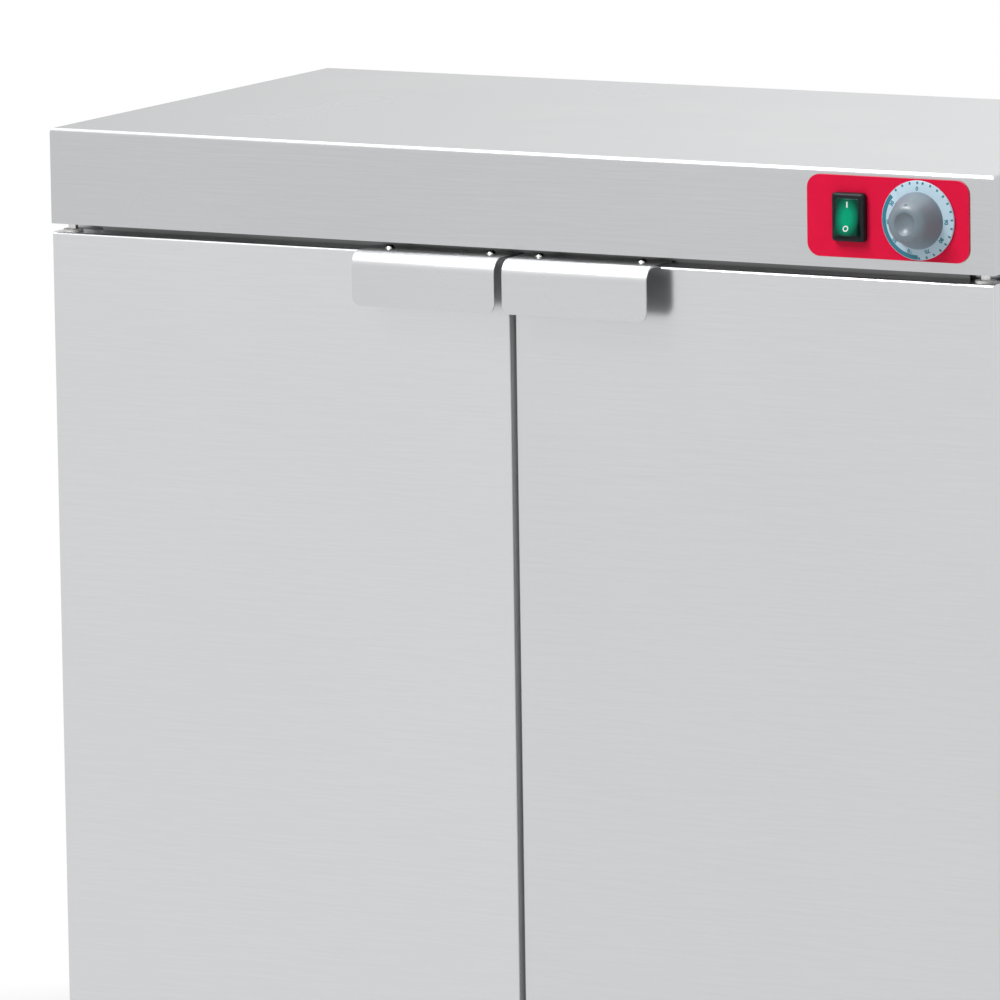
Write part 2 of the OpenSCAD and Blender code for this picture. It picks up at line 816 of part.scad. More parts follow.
module control_plate() {
    color("#e0193c") difference() {
        on_apron(plate_x) linear_extrude(plate_t) soft_rect(plate_w, plate_h, plate_r);
        control_cuts();
    }
}

module switch_housing() {
    well_w = rocker_w + 2 * rocker_gap;
    well_h = 2 * (rocker_r + rocker_gap);
    well_d = rocker_axis_d - rocker_well;
    color(dark) on_apron(switch_x) difference() {
        union() {
            translate([0, 0, plate_t]) linear_extrude(bezel_d) soft_rect(bezel_w, bezel_h, bezel_r);
            translate([0, 0, -switch_depth]) linear_extrude(switch_depth + plate_t)
                square([switch_body_w, switch_body_h], center = true);
        }
        translate([0, 0, well_d]) linear_extrude(plate_t + bezel_d - well_d + overrun)
            square([well_w, well_h], center = true);
        translate([0, 0, rocker_axis_d]) rotate([0, 90, 0])
            cylinder(d = rocker_pivot_d + 2 * run_gap, h = switch_body_w - switch_wall, center = true);
    }
}

// Dished rocker on its two pivots, resting with the upper end pressed in
module switch_rocker() {
    rise = rocker_r * tan(rocker_tilt);
    color("#00a578") on_apron(switch_x) translate([0, 0, rocker_axis_d]) rotate([-rocker_tilt, 0, 0]) {
        intersection() {
            rotate([90, 0, 90]) linear_extrude(rocker_w, center = true) intersection() {
                circle(rocker_r);
                polygon([
                    [-rocker_r, -rocker_keel], [rocker_r, -rocker_keel],
                    [rocker_r, rocker_middle + rise], [0, rocker_middle],
                    [-rocker_r, rocker_middle + rise]
                ]);
            }
            translate([0, 0, -rocker_r]) linear_extrude(2 * rocker_r)
                soft_rect(rocker_w, 2 * rocker_r, rocker_corner_r);
        }
        rotate([0, 90, 0])
            cylinder(d = rocker_pivot_d, h = rocker_w + 2 * rocker_gap + switch_wall / 2, center = true);
    }
}

// Screw terminal strip on the deck, with a wire hole at each pole
module terminal_block() {
    color("#e8e4d8") difference() {
        box([gland_x - block_l / 2, block_y - block_w / 2, apron_z],
            [gland_x + block_l / 2, block_y + block_w / 2, apron_z + block_h]);
        for (i = [-1, 0, 1])
            translate([gland_x + i * block_l / 3, block_y, apron_z + block_h / 2])
                rotate([90, 0, 0]) cylinder(d = block_hole_d, h = 2 * block_w, center = true);
    }
}

// Leads from the terminal strip to the switch, on to the thermostat and to the heater
module wiring() {
    side_x = gland_x + block_l / 2;
    switch_back_y = front_y + switch_depth;
    thermostat_back_y = front_y + top_t + thermostat_d;
    pin_y = liner_back_y + panel_t + heater_tail + heater_pin_l / 2;
    pin_top_z = heater_z + heater_pin_d / 2;
    lead_y = switch_back_y + switch_depth;
    color("#8c2f2a") {
        routed([
            [side_x, block_y, wire_z], [switch_x, block_y, wire_z],
            [switch_x, lead_y, wire_z], [switch_x, lead_y, control_z],
            [switch_x, switch_back_y, control_z]
        ], wire_d);
        routed([
            [switch_x + switch_body_w / 4, switch_back_y, control_z],
            [switch_x + switch_body_w / 4, lead_y, control_z],
            [knob_x - thermostat_w / 4, lead_y, control_z],
            [knob_x - thermostat_w / 4, thermostat_back_y, control_z]
        ], wire_d);
        routed([
            [knob_x - thermostat_w / 4, thermostat_back_y, control_z - thermostat_w / 4],
            [knob_x - thermostat_w / 4, duct_y, control_z - thermostat_w / 4],
            [heater_end_x, duct_y, control_z - thermostat_w / 4],
            [heater_end_x, duct_y, pin_top_z]
        ], wire_d);
        routed([
            [gland_x - block_l / 3, block_y + block_w / 2, wire_z],
            [gland_x - block_l / 3, duct_y, wire_z],
            [-heater_end_x, duct_y, wire_z],
            [-heater_end_x, duct_y, pin_top_z]
        ], wire_d);
    }
}

module cable_gland() {
    color(dark) on_gland() difference() {
        union() {
            cylinder(d = gland_hex_d, h = gland_hex_t, $fn = 6);
            translate([0, 0, gland_hex_t])
                cylinder(d1 = gland_nut_front_d, d2 = gland_nut_end_d, h = gland_nut_l);
            translate([0, 0, -top_t - 2 * gland_locknut_t])
                cylinder(d = gland_thread_d, h = top_t + 2 * gland_locknut_t);
        }
        translate([0, 0, -top_t - 2 * gland_locknut_t - overrun])
            cylinder(d = gland_bore_d, h = top_t + 2 * gland_locknut_t + gland_reach + 2 * overrun);
    }
}

module gland_locknut() {
    color(dark) on_gland() translate([0, 0, -top_t - gland_locknut_t]) difference() {
        cylinder(d = gland_locknut_d, h = gland_locknut_t, $fn = 6);
        translate([0, 0, -overrun])
            cylinder(d = gland_thread_d + 2 * run_gap, h = gland_locknut_t + 2 * overrun);
    }
}

// Plate of a pivot: it reaches forward from the side panel's flange to the pin
module pivot_plate(side) {
    edge = 2 * top_t + pivot_plate_edge;
    plate_in = inner_half_w + pivot_plate_edge;
    plate_out = half_w - edge;
    difference() {
        mirror([side < 0 ? 1 : 0, 0, 0])
            box([plate_in, front_y + edge, 0],
                [plate_out, body_front_y + pivot_plate_back, pivot_plate_t]);
        for (place = pivot_screw_places(side))
            translate([place[0], place[1], -overrun])
                cylinder(d = pivot_screw_d + 2 * fit, h = pivot_plate_t + 2 * overrun);
    }
}

module top_pivot(side) {
    pin_end_z = door_top_z - pivot_pin_depth;
    color("silver") {
        translate([0, 0, apron_z]) pivot_plate(side);
        translate([side * pivot_x, pivot_y, pin_end_z])
            cylinder(d = pivot_pin_d, h = apron_z - pin_end_z + pivot_plate_t);
    }
}

// Lower pivot: its collar carries the door's lower bush
module bottom_pivot(side) {
    plate_z = body_z - pivot_plate_t;
    color("silver") {
        translate([0, 0, plate_z]) pivot_plate(side);
        translate([side * pivot_x, pivot_y, plate_z]) {
            cylinder(d = pivot_pin_d, h = pivot_plate_t + door_bottom_rise + pivot_pin_depth);
            cylinder(d = pivot_collar_d, h = pivot_plate_t + door_bottom_rise - bush_flange_t);
        }
    }
}

module pivot_screws() {
    color("silver")
        for (side = [-1, 1], place = pivot_screw_places(side)) {
            translate([place[0], place[1], apron_z + pivot_plate_t])
                dome_screw(pivot_screw_head_d, pivot_screw_head_h, pivot_screw_d,
                    pivot_plate_t + panel_t);
            translate([place[0], place[1], body_z - pivot_plate_t]) mirror([0, 0, 1])
                dome_screw(pivot_screw_head_d, pivot_screw_head_h, pivot_screw_d,
                    pivot_plate_t + panel_t);
        }
}

// Magnet catches under the front of the chamber roof
module magnet_catches() {
    face_y = front_y + door_t + strike_t + catch_gap;
    color(nylon)
        for (side = [-1, 1])
            translate([side * catch_x, face_y, ceiling_z - catch_h]) difference() {
                translate([-catch_w / 2, 0, 0]) cube([catch_w, catch_l, catch_h]);
                for (i = [-1, 1])
                    translate([i * catch_w / 3, catch_l / 2, -overrun])
                        cylinder(d = handle_screw_d, h = catch_h + 2 * overrun);
            }
}

// Tube leg with its fixing plate and the nut that takes the foot's stem
module legs() {
    plate_z = body_z - leg_plate_t;
    color(steel)
        for (side = [-1, 1], row = leg_rows)
            translate([side * leg_x, row, 0]) difference() {
                union() {
                    translate([0, 0, plate_z]) linear_extrude(leg_plate_t)
                        soft_rect(leg_plate_w, leg_plate_w, leg_bolt_inset);
                    translate([0, 0, leg_end_z]) cylinder(d = leg_d, h = plate_z - leg_end_z);
                }
                translate([0, 0, leg_end_z + leg_nut_l])
                    cylinder(d = leg_d - 2 * leg_wall, h = plate_z - leg_end_z - leg_nut_l);
                translate([0, 0, leg_end_z - overrun])
                    cylinder(d = foot_stem_d + 2 * run_gap, h = leg_nut_l + 2 * overrun);
                for (i = [-1, 1], j = [-1, 1])
                    translate([i * (leg_plate_w / 2 - leg_bolt_inset),
                        j * (leg_plate_w / 2 - leg_bolt_inset), plate_z - overrun])
                        cylinder(d = leg_bolt_d + 2 * fit, h = leg_plate_t + 2 * overrun);
            }
}

module leg_bolts() {
    color("silver")
        for (place = leg_bolt_places())
            translate([place[0], place[1], body_z - leg_plate_t]) {
                translate([0, 0, -leg_bolt_head_h])
                    cylinder(d = leg_bolt_head_d, h = leg_bolt_head_h, $fn = 6);
                cylinder(d = leg_bolt_d, h = leg_plate_t + panel_t);
            }
}

// Screw-in foot: rounded pad, hexagon for a spanner and plain stem
module foot(side, row) {
    hex_z = foot_pad_h + foot_hex_h;
    color(dark) translate([side * leg_x, row, 0]) {
        rotate_extrude() {
            square([foot_d / 2 - foot_pad_r, foot_pad_h]);
            square([foot_d / 2, foot_pad_h - foot_pad_r]);
            translate([foot_d / 2 - foot_pad_r, foot_pad_h - foot_pad_r]) circle(foot_pad_r);
        }
        translate([0, 0, foot_pad_h]) cylinder(d = foot_hex_d, h = foot_hex_h, $fn = 6);
        translate([0, 0, hex_z]) cylinder(d = foot_stem_d, h = foot_stem_l);
    }
}

// Holes of a door's top and bottom returns, through pan and tray
module door_cuts(side) {
    for (z = [door_bottom_z, door_top_z])
        translate([side * pivot_x, pivot_y, z])
            cylinder(d = bush_d, h = 6 * panel_t, center = true);
    for (place = handle_screw_places(side))
        translate([place[0], place[1], door_top_z])
            cylinder(d = handle_screw_d + 2 * fit, h = 6 * panel_t, center = true);
}

// Outer pan of a door
module door_skin(side) {
    color(steel) difference() {
        translate([side * door_x, front_y + door_t, door_z]) rotate([90, 0, 0])
            folded_pan(door_w, door_h, door_t, panel_bend_r, panel_t);
        door_cuts(side);
    }
}

// Inner tray of a door, set into the pan with its face at the back
module door_liner(side) {
    color(inner_steel) difference() {
        translate([side * door_x, front_y + door_t - door_liner_flange, door_z]) rotate([-90, 0, 0])
            folded_pan(door_w - 2 * panel_t, door_h - 2 * panel_t, door_liner_flange,
                panel_bend_r, panel_t);
        door_cuts(side);
    }
}

// Insulation between the two skins of a door
module door_core(side) {
    core_w = door_w - 4 * panel_t - 2 * slab_gap;
    core_h = door_h - 2 * door_core_end_gap;
    core_y = front_y + panel_t + slab_gap;
    color("#d8c98a")
        box([side * door_x - core_w / 2, core_y, door_z - core_h / 2],
            [side * door_x + core_w / 2, front_y + door_t - panel_t - slab_gap, door_z + core_h / 2]);
}

// Places of a handle's two screws, as [x, y]
function handle_screw_places(side) = [
    for (i = [-1, 1])
        [side * (handle_x + i * (handle_l / 2 - handle_screw_inset)), front_y + handle_screw_setback]
];

// Side view of the handle strip: x counts back from the door's face, y is the height
module handle_section() {
    tab_z = door_top_z + handle_t;
    bend_x = handle_bend_r - handle_reach;
    translate([bend_x, door_top_z]) square([handle_tab_l - bend_x, handle_t]);
    translate([bend_x, tab_z - handle_bend_r]) intersection() {
        difference() {
            circle(handle_bend_r);
            circle(handle_bend_r - handle_t);
        }
        translate([-handle_bend_r, 0]) square(handle_bend_r);
    }
    translate([-handle_reach, tab_z - handle_front_h])
        square([handle_t, handle_front_h - handle_bend_r]);
}

// Folded strip handle: it lies on the door's upper edge, bends down in front, lower corners rounded
module handle(side) {
    color(steel) difference() {
        intersection() {
            translate([side * handle_x, front_y, 0]) rotate([90, 0, 90])
                linear_extrude(handle_l, center = true) handle_section();
            translate([side * handle_x, front_y + door_t, door_top_z + handle_t])
                rotate([90, 0, 0]) linear_extrude(door_t + handle_reach + overrun)
                    mirror([0, 1]) bent_outline(handle_l, handle_front_h, handle_corner_r);
        }
        for (place = handle_screw_places(side))
            translate([place[0], place[1], door_top_z])
                cylinder(d = handle_screw_d + 2 * fit, h = 4 * handle_t, center = true);
    }
}

module handle_screws(side) {
    color("silver")
        for (place = handle_screw_places(side))
            translate([place[0], place[1], door_top_z + handle_t])
                dome_screw(handle_screw_head_d, handle_screw_head_h, handle_screw_d, handle_screw_l);
}

// Flanged nylon bush with its flange on top
module bush() {
    difference() {
        union() {
            cylinder(d = bush_flange_d, h = bush_flange_t);
            translate([0, 0, -bush_l]) cylinder(d = bush_d, h = bush_l);
        }
        translate([0, 0, -bush_l - overrun])
            cylinder(d = pivot_pin_d + 2 * run_gap, h = bush_l + bush_flange_t + 2 * overrun);
    }
}

module door_bushes(side) {
    color(nylon) {
        translate([side * pivot_x, pivot_y, door_top_z]) bush();
        translate([side * pivot_x, pivot_y, door_bottom_z]) mirror([0, 0, 1]) bush();
    }
}

module strike_plate(side) {
    color("silver") translate([side * catch_x, front_y + door_t + strike_t, ceiling_z - catch_h / 2])
        rotate([90, 0, 0]) linear_extrude(strike_t) soft_rect(strike_w, catch_h, panel_bend_r);
}

worktop();
worktop_stiffeners();
side_panel(-1);  // side_panel_left
side_panel(1);  // side_panel_right
back_panel();
back_screws();
base_panel();
top_deck();
liner_side(-1);  // liner_left
liner_side(1);  // liner_right
liner_back();
liner_top();
liner_floor();
insulation_slabs();
heating_element();
element_supports();
baffle_plate();
shelf();
shelf_rail(-1);  // shelf_rail_left
shelf_rail(1);  // shelf_rail_right
sensor_bulb();
thermostat_body();
thermostat_shaft();
knob();
knob_skirt();
control_plate();
switch_housing();
switch_rocker();
terminal_block();
wiring();
cable_gland();
gland_locknut();
top_pivot(-1);  // top_pivot_left
top_pivot(1);  // top_pivot_right
bottom_pivot(-1);  // bottom_pivot_left
bottom_pivot(1);  // bottom_pivot_right
pivot_screws();
magnet_catches();
legs();
leg_bolts();
foot(-1, leg_rows[0]);  // foot_front_left
foot(1, leg_rows[0]);  // foot_front_right
foot(-1, leg_rows[1]);  // foot_rear_left
foot(1, leg_rows[1]);  // foot_rear_right
door_skin(-1);  // door_skin_left
door_liner(-1);  // door_liner_left
door_core(-1);  // door_core_left
handle(-1);  // handle_left
handle_screws(-1);  // handle_screws_left
door_bushes(-1);  // door_bushes_left
strike_plate(-1);  // strike_plate_left
door_skin(1);  // door_skin_right
door_liner(1);  // door_liner_right
door_core(1);  // door_core_right
handle(1);  // handle_right
handle_screws(1);  // handle_screws_right
door_bushes(1);  // door_bushes_right
strike_plate(1);  // strike_plate_right
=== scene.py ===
import math

import bmesh
import bpy
from mathutils import Matrix, Vector


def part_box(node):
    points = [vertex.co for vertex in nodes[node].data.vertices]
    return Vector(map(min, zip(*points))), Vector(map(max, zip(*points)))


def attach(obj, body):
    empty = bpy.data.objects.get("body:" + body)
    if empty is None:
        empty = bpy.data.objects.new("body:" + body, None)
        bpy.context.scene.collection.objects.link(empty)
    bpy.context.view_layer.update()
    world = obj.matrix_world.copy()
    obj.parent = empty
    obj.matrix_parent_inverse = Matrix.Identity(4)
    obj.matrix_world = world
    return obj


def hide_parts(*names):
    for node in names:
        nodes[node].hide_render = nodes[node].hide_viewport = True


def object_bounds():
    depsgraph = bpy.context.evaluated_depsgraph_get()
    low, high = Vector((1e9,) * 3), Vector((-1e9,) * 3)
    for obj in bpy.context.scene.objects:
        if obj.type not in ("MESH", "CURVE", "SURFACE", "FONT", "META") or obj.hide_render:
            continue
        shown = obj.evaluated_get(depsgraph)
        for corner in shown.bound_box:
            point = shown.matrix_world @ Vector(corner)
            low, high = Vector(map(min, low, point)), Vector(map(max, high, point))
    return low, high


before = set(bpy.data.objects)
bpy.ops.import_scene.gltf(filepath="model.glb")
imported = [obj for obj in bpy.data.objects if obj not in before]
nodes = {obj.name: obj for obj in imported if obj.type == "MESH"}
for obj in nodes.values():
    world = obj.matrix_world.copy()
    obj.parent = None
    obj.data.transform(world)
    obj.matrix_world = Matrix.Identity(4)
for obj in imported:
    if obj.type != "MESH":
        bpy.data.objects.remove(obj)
cad_low, cad_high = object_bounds()


# Base tray and legs: the tray that closes the cabinet below is folded from mill-finish
# stainless sheet, and four stainless tubes with welded plates are bolted up against it.
mm = 0.001


def add(tree, kind, **settings):
    """Adds a shader node with these properties."""
    made = tree.nodes.new("ShaderNode" + kind)
    for key, value in settings.items():
        setattr(made, key, value)
    return made


def noise(tree, place, scale, detail=2.0, rough=0.5):
    """Cloudy noise from 0 to 1 over a place."""
    made = add(tree, "TexNoise")
    made.inputs["Scale"].default_value = scale
    made.inputs["Detail"].default_value = detail
    made.inputs["Roughness"].default_value = rough
    tree.links.new(place, made.inputs["Vector"])
    return made.outputs["Fac"]


def remap(tree, mask, low, high, start=0.3, end=0.7):
    """Carries a mask's middle range over to values from low to high."""
    made = add(tree, "MapRange")
    for label, value in (("From Min", start), ("From Max", end), ("To Min", low), ("To Max", high)):
        made.inputs[label].default_value = value
    tree.links.new(mask, made.inputs["Value"])
    return made.outputs["Result"]


def tint(tree, mask, dark, light, start=0.3, end=0.7):
    """Colours a mask from a dark tone to a light one."""
    made = add(tree, "ValToRGB")
    for stop, position, colour in zip(made.color_ramp.elements, (start, end), (dark, light)):
        stop.position = position
        stop.color = (*colour, 1.0)
    tree.links.new(mask, made.inputs["Fac"])
    return made.outputs["Color"]


def relief(tree, shader, height, strength, depth):
    """Raises a height map on the shader's surface."""
    made = add(tree, "Bump")
    made.inputs["Strength"].default_value = strength
    made.inputs["Distance"].default_value = depth
    tree.links.new(height, made.inputs["Height"])
    tree.links.new(made.outputs["Normal"], shader.inputs["Normal"])


def new_group(name, inputs, outputs):
    """An empty shader group with its named sockets, and its two end nodes."""
    group = bpy.data.node_groups.new(name, "ShaderNodeTree")
    for label in inputs:
        group.interface.new_socket(label, in_out="INPUT", socket_type="NodeSocketVector")
    for label in outputs:
        group.interface.new_socket(label, in_out="OUTPUT", socket_type="NodeSocketFloat")
    return group, group.nodes.new("NodeGroupInput"), group.nodes.new("NodeGroupOutput")


def new_finish(name):
    """A new material with its tree, its shader and its Object coordinates."""
    finish = bpy.data.materials.new(name)
    finish.use_nodes = True
    tree = finish.node_tree
    return finish, tree, tree.nodes["Principled BSDF"], add(tree, "TexCoord")


def use_group(tree, group, place):
    """Places a shader group in a material, on these coordinates."""
    made = add(tree, "Group", node_tree=group)
    tree.links.new(place, made.inputs["Place"])
    return made


def shades(colour, spread):
    """A darker and a lighter shade either side of a colour."""
    return [tuple(min(1.0, part * share) for part in colour) for share in (1 - spread, 1 + spread)]


sheet_grain, grain_in, grain_out = new_group("sheet_grain", ("Place", "Stretch"), ("Streak", "Cloud"))
pulled = add(sheet_grain, "VectorMath", operation="MULTIPLY")
sheet_grain.links.new(grain_in.outputs["Place"], pulled.inputs[0])
sheet_grain.links.new(grain_in.outputs["Stretch"], pulled.inputs[1])
streak = noise(sheet_grain, pulled.outputs["Vector"], 1.0, 4.0, 0.7)
sheet_grain.links.new(streak, grain_out.inputs["Streak"])
cloud = noise(sheet_grain, grain_in.outputs["Place"], 5.0, 3.0, 0.5)
sheet_grain.links.new(cloud, grain_out.inputs["Cloud"])


def sheet_finish(name, colour, rough, along, stretch, spread=0.03):
    """Ground stainless sheet, with its grain along one direction."""
    finish, tree, shader, place = new_finish(name)
    grain = use_group(tree, sheet_grain, place.outputs["Object"])
    grain.inputs["Stretch"].default_value = stretch
    ground = tint(tree, grain.outputs["Streak"], *shades(colour, spread))
    tree.links.new(ground, shader.inputs["Base Color"])
    gloss = remap(tree, grain.outputs["Cloud"], rough - 0.03, rough + 0.04)
    tree.links.new(gloss, shader.inputs["Roughness"])
    relief(tree, shader, grain.outputs["Streak"], 0.05, 0.1 * mm)
    shader.inputs["Metallic"].default_value = 1.0
    shader.inputs["Anisotropic"].default_value = 0.6
    across = add(tree, "VectorMath", operation="CROSS_PRODUCT")
    tree.links.new(place.outputs["Normal"], across.inputs[0])
    across.inputs[1].default_value = along
    # The nudge leaves a direction on faces that look along the grain.
    nudged = add(tree, "VectorMath", operation="ADD")
    tree.links.new(across.outputs["Vector"], nudged.inputs[0])
    nudged.inputs[1].default_value = (0.003, 0.002, 0.001)
    turned = add(tree, "VectorTransform", vector_type="VECTOR", convert_from="OBJECT", convert_to="WORLD")
    tree.links.new(nudged.outputs["Vector"], turned.inputs["Vector"])
    tree.links.new(turned.outputs["Vector"], shader.inputs["Tangent"])
    return finish


def plated_finish(name, colour, rough, spread=0.04):
    """Plated or drawn metal, with fine cloudy changes of tone and gloss."""
    finish, tree, shader, place = new_finish(name)
    fine = noise(tree, place.outputs["Object"], 420.0, 4.0, 0.6)
    broad = noise(tree, place.outputs["Object"], 30.0, 2.0)
    tree.links.new(tint(tree, broad, *shades(colour, spread)), shader.inputs["Base Color"])
    tree.links.new(remap(tree, fine, rough - 0.04, rough + 0.06), shader.inputs["Roughness"])
    relief(tree, shader, fine, 0.06, 0.1 * mm)
    shader.inputs["Metallic"].default_value = 1.0
    return finish


def dress(finish, *names):
    """Gives CAD nodes their finish."""
    for name in names:
        nodes[name].material_slots[0].material = finish


upright = (0.0, 0.0, 1.0)
sideways = (1.0, 0.0, 0.0)
grain_upright = (900.0, 900.0, 14.0)
grain_sideways = (14.0, 900.0, 900.0)
inner_steel = (0.55, 0.555, 0.56)
tray_sheet = sheet_finish("tray_sheet", inner_steel, 0.32, sideways, grain_sideways, 0.04)
leg_tube = sheet_finish("leg_tube", (0.6, 0.605, 0.61), 0.22, upright, grain_upright)
bolt_steel = plated_finish("bolt_steel", (0.66, 0.66, 0.66), 0.26)
dress(tray_sheet, "base_panel")
dress(leg_tube, "legs")
dress(bolt_steel, "leg_bolts")


# Feet: one black glass-filled nylon moulding each, a round pad under a hexagon, with a
# threaded stem that screws up into the leg.
moulded_skin, skin_in, skin_out = new_group("moulded_skin", ("Place",), ("Mottle", "Pore"))
mottle = noise(moulded_skin, skin_in.outputs["Place"], 60.0, 3.0)
moulded_skin.links.new(mottle, skin_out.inputs["Mottle"])
pore = noise(moulded_skin, skin_in.outputs["Place"], 2200.0, 2.0)
moulded_skin.links.new(pore, skin_out.inputs["Pore"])


def moulded_finish(name, colour, rough, spread, grain, shine=0.5):
    """Moulded plastic or enamel, with a fine spark grain."""
    finish, tree, shader, place = new_finish(name)
    skin = use_group(tree, moulded_skin, place.outputs["Object"])
    mottled = tint(tree, skin.outputs["Mottle"], *shades(colour, spread))
    tree.links.new(mottled, shader.inputs["Base Color"])
    gloss = remap(tree, skin.outputs["Mottle"], rough - 0.04, rough + 0.05)
    tree.links.new(gloss, shader.inputs["Roughness"])
    relief(tree, shader, skin.outputs["Pore"], grain, 0.05 * mm)
    shader.inputs["Specular IOR Level"].default_value = shine
    return finish


foot_nylon = moulded_finish("foot_nylon", (0.016, 0.016, 0.018), 0.45, 0.12, 0.25)
dress(foot_nylon, *(f"foot_{end}_{side}" for end in ("front", "rear") for side in ("left", "right")))


# Outer panels: two side panels and a back, folded from 1 mm stainless sheet ground to a
# satin grain. The back is held by eight pan-head screws with a cross recess.
outer_steel = (0.6, 0.605, 0.612)
side_sheet = sheet_finish("side_sheet", outer_steel, 0.25, upright, grain_upright)
back_sheet = sheet_finish("back_sheet", outer_steel, 0.28, sideways, grain_sideways)
dress(side_sheet, "side_panel_left", "side_panel_right")
dress(back_sheet, "back_panel")


def wire(bm, points):
    """A chain of vertices and edges in the X-Z plane, given as radius and height."""
    chain = [bm.verts.new((across, 0.0, up)) for across, up in points]
    for start, end in zip(chain, chain[1:]):
        bm.edges.new((start, end))
    return chain


def soften(bm, corners, size, segments=5):
    """Rounds corners of a chain."""
    bmesh.ops.bevel(bm, geom=corners, offset=size, segments=segments, profile=0.5,
                    affect="VERTICES", material=-1)


def spin_up(bm, steps):
    """Turns a chain once round Z, and closes its seam and poles."""
    seam = 0.001 * mm
    bmesh.ops.spin(bm, geom=bm.verts[:] + bm.edges[:], axis=upright, cent=(0, 0, 0),
                   angle=2 * math.pi, steps=steps, use_merge=True)
    bmesh.ops.remove_doubles(bm, verts=bm.verts, dist=seam)
    bmesh.ops.recalc_face_normals(bm, faces=bm.faces)


def arc(centre, radius, start, end, steps):
    """Points on a circle in the X-Z plane, by their angle from Z in degrees."""
    turns = [math.radians(start + (end - start) * step / steps) for step in range(steps + 1)]
    return [(centre[0] + radius * math.sin(turn), centre[1] + radius * math.cos(turn)) for turn in turns]


def verts_in(geom):
    """The vertices among an operator's results."""
    return [part for part in geom if isinstance(part, bmesh.types.BMVert)]


def cross_screw(head, shank_d, shank_l):
    """A screw with a cross recess: its head's side goes from the seat at z = 0 up to the recess."""
    arm_share, slot_share, end_share, floor_share, depth_share = 0.7, 0.55, 0.9, 0.7, 0.6
    bm = bmesh.new()
    wire(bm, [(0, -shank_l), (shank_d / 2, -shank_l), (shank_d / 2, 0), *head])
    spin_up(bm, 40)
    rim = [edge for edge in bm.edges if len(edge.link_faces) == 1]
    rim_r, rim_h = head[-1]
    arm = arm_share * rim_r
    arm_end = end_share * arm
    cross = bmesh.ops.create_grid(bm, x_segments=3, y_segments=3, size=arm,
                                  matrix=Matrix.Translation((0, 0, rim_h)))["verts"]
    for vert in cross:
        vert.co.x *= slot_share if abs(vert.co.x) < arm_end else 1.0
        vert.co.y *= slot_share if abs(vert.co.y) < arm_end else 1.0
    corners = [vert for vert in cross if min(abs(vert.co.x), abs(vert.co.y)) > arm_end]
    bmesh.ops.delete(bm, geom=corners, context="VERTS")
    plus = {face for vert in cross if vert.is_valid for face in vert.link_faces}
    lip = [edge for face in plus for edge in face.edges if len(edge.link_faces) == 1]
    recess_floor = verts_in(bmesh.ops.extrude_face_region(bm, geom=list(plus))["geom"])
    bmesh.ops.scale(bm, vec=(floor_share, floor_share, 1.0), verts=recess_floor)
    bmesh.ops.translate(bm, vec=(0, 0, -depth_share * rim_h), verts=recess_floor)
    bmesh.ops.bridge_loops(bm, edges=rim + lip)
    return bm


def join(bm, other):
    """Adds another shape to a bmesh."""
    mesh = bpy.data.meshes.new("joined")
    other.to_mesh(mesh)
    other.free()
    bm.from_mesh(mesh)
    bpy.data.meshes.remove(mesh)


def repeat(bm, places):
    """Puts copies of a shape at these matrices in one mesh."""
    joined = bmesh.new()
    for place in places:
        copied = bm.copy()
        copied.transform(place)
        join(joined, copied)
    bm.free()
    return joined


def piece_of(bm, name, finish):
    """Turns a bmesh into an object with one finish."""
    mesh = bpy.data.meshes.new(name)
    bm.to_mesh(mesh)
    bm.free()
    mesh.materials.append(finish)
    piece = bpy.data.objects.new(name, mesh)
    bpy.context.scene.collection.objects.link(piece)
    return piece


def settle(bm, name, finish, body):
    """Closes a bmesh into a piece that rides on a body and takes a finish."""
    weld, crease = 0.0005 * mm, math.radians(35.0)
    bmesh.ops.remove_doubles(bm, verts=bm.verts, dist=weld)
    bmesh.ops.recalc_face_normals(bm, faces=bm.faces)
    for face in bm.faces:
        face.smooth = True
    for edge in bm.edges:
        edge.smooth = len(edge.link_faces) == 2 and edge.calc_face_angle() < crease
    piece = piece_of(bm, name, finish)
    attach(piece, body)
    return piece


screw_d = 4.0 * mm
back_head_d, back_head_h, back_head_edge_r, back_rows = 8.0 * mm, 2.4 * mm, 1.5 * mm, 4
low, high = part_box("back_screws")
seat_y = high.y - back_head_h
row_step = (high.z - low.z - back_head_d) / (back_rows - 1)
screw_steel = plated_finish("screw_steel", (0.7, 0.7, 0.69), 0.2)
facing_back = Matrix.Rotation(-math.pi / 2, 4, "X")
screw_places = [
    Matrix.Translation((x, seat_y, low.z + back_head_d / 2 + row * row_step)) @ facing_back
    for x in (low.x + back_head_d / 2, high.x - back_head_d / 2) for row in range(back_rows)
]
edge_centre = (back_head_d / 2 - back_head_edge_r, back_head_h - back_head_edge_r)
pan_head = [(back_head_d / 2, 0), *arc(edge_centre, back_head_edge_r, 90, 0, 6)]
pan_screw = cross_screw(pan_head, screw_d, seat_y - low.y)
panel_screws = settle(repeat(pan_screw, screw_places), "panel_screws", screw_steel,
                      "cabinet")
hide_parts("back_screws")
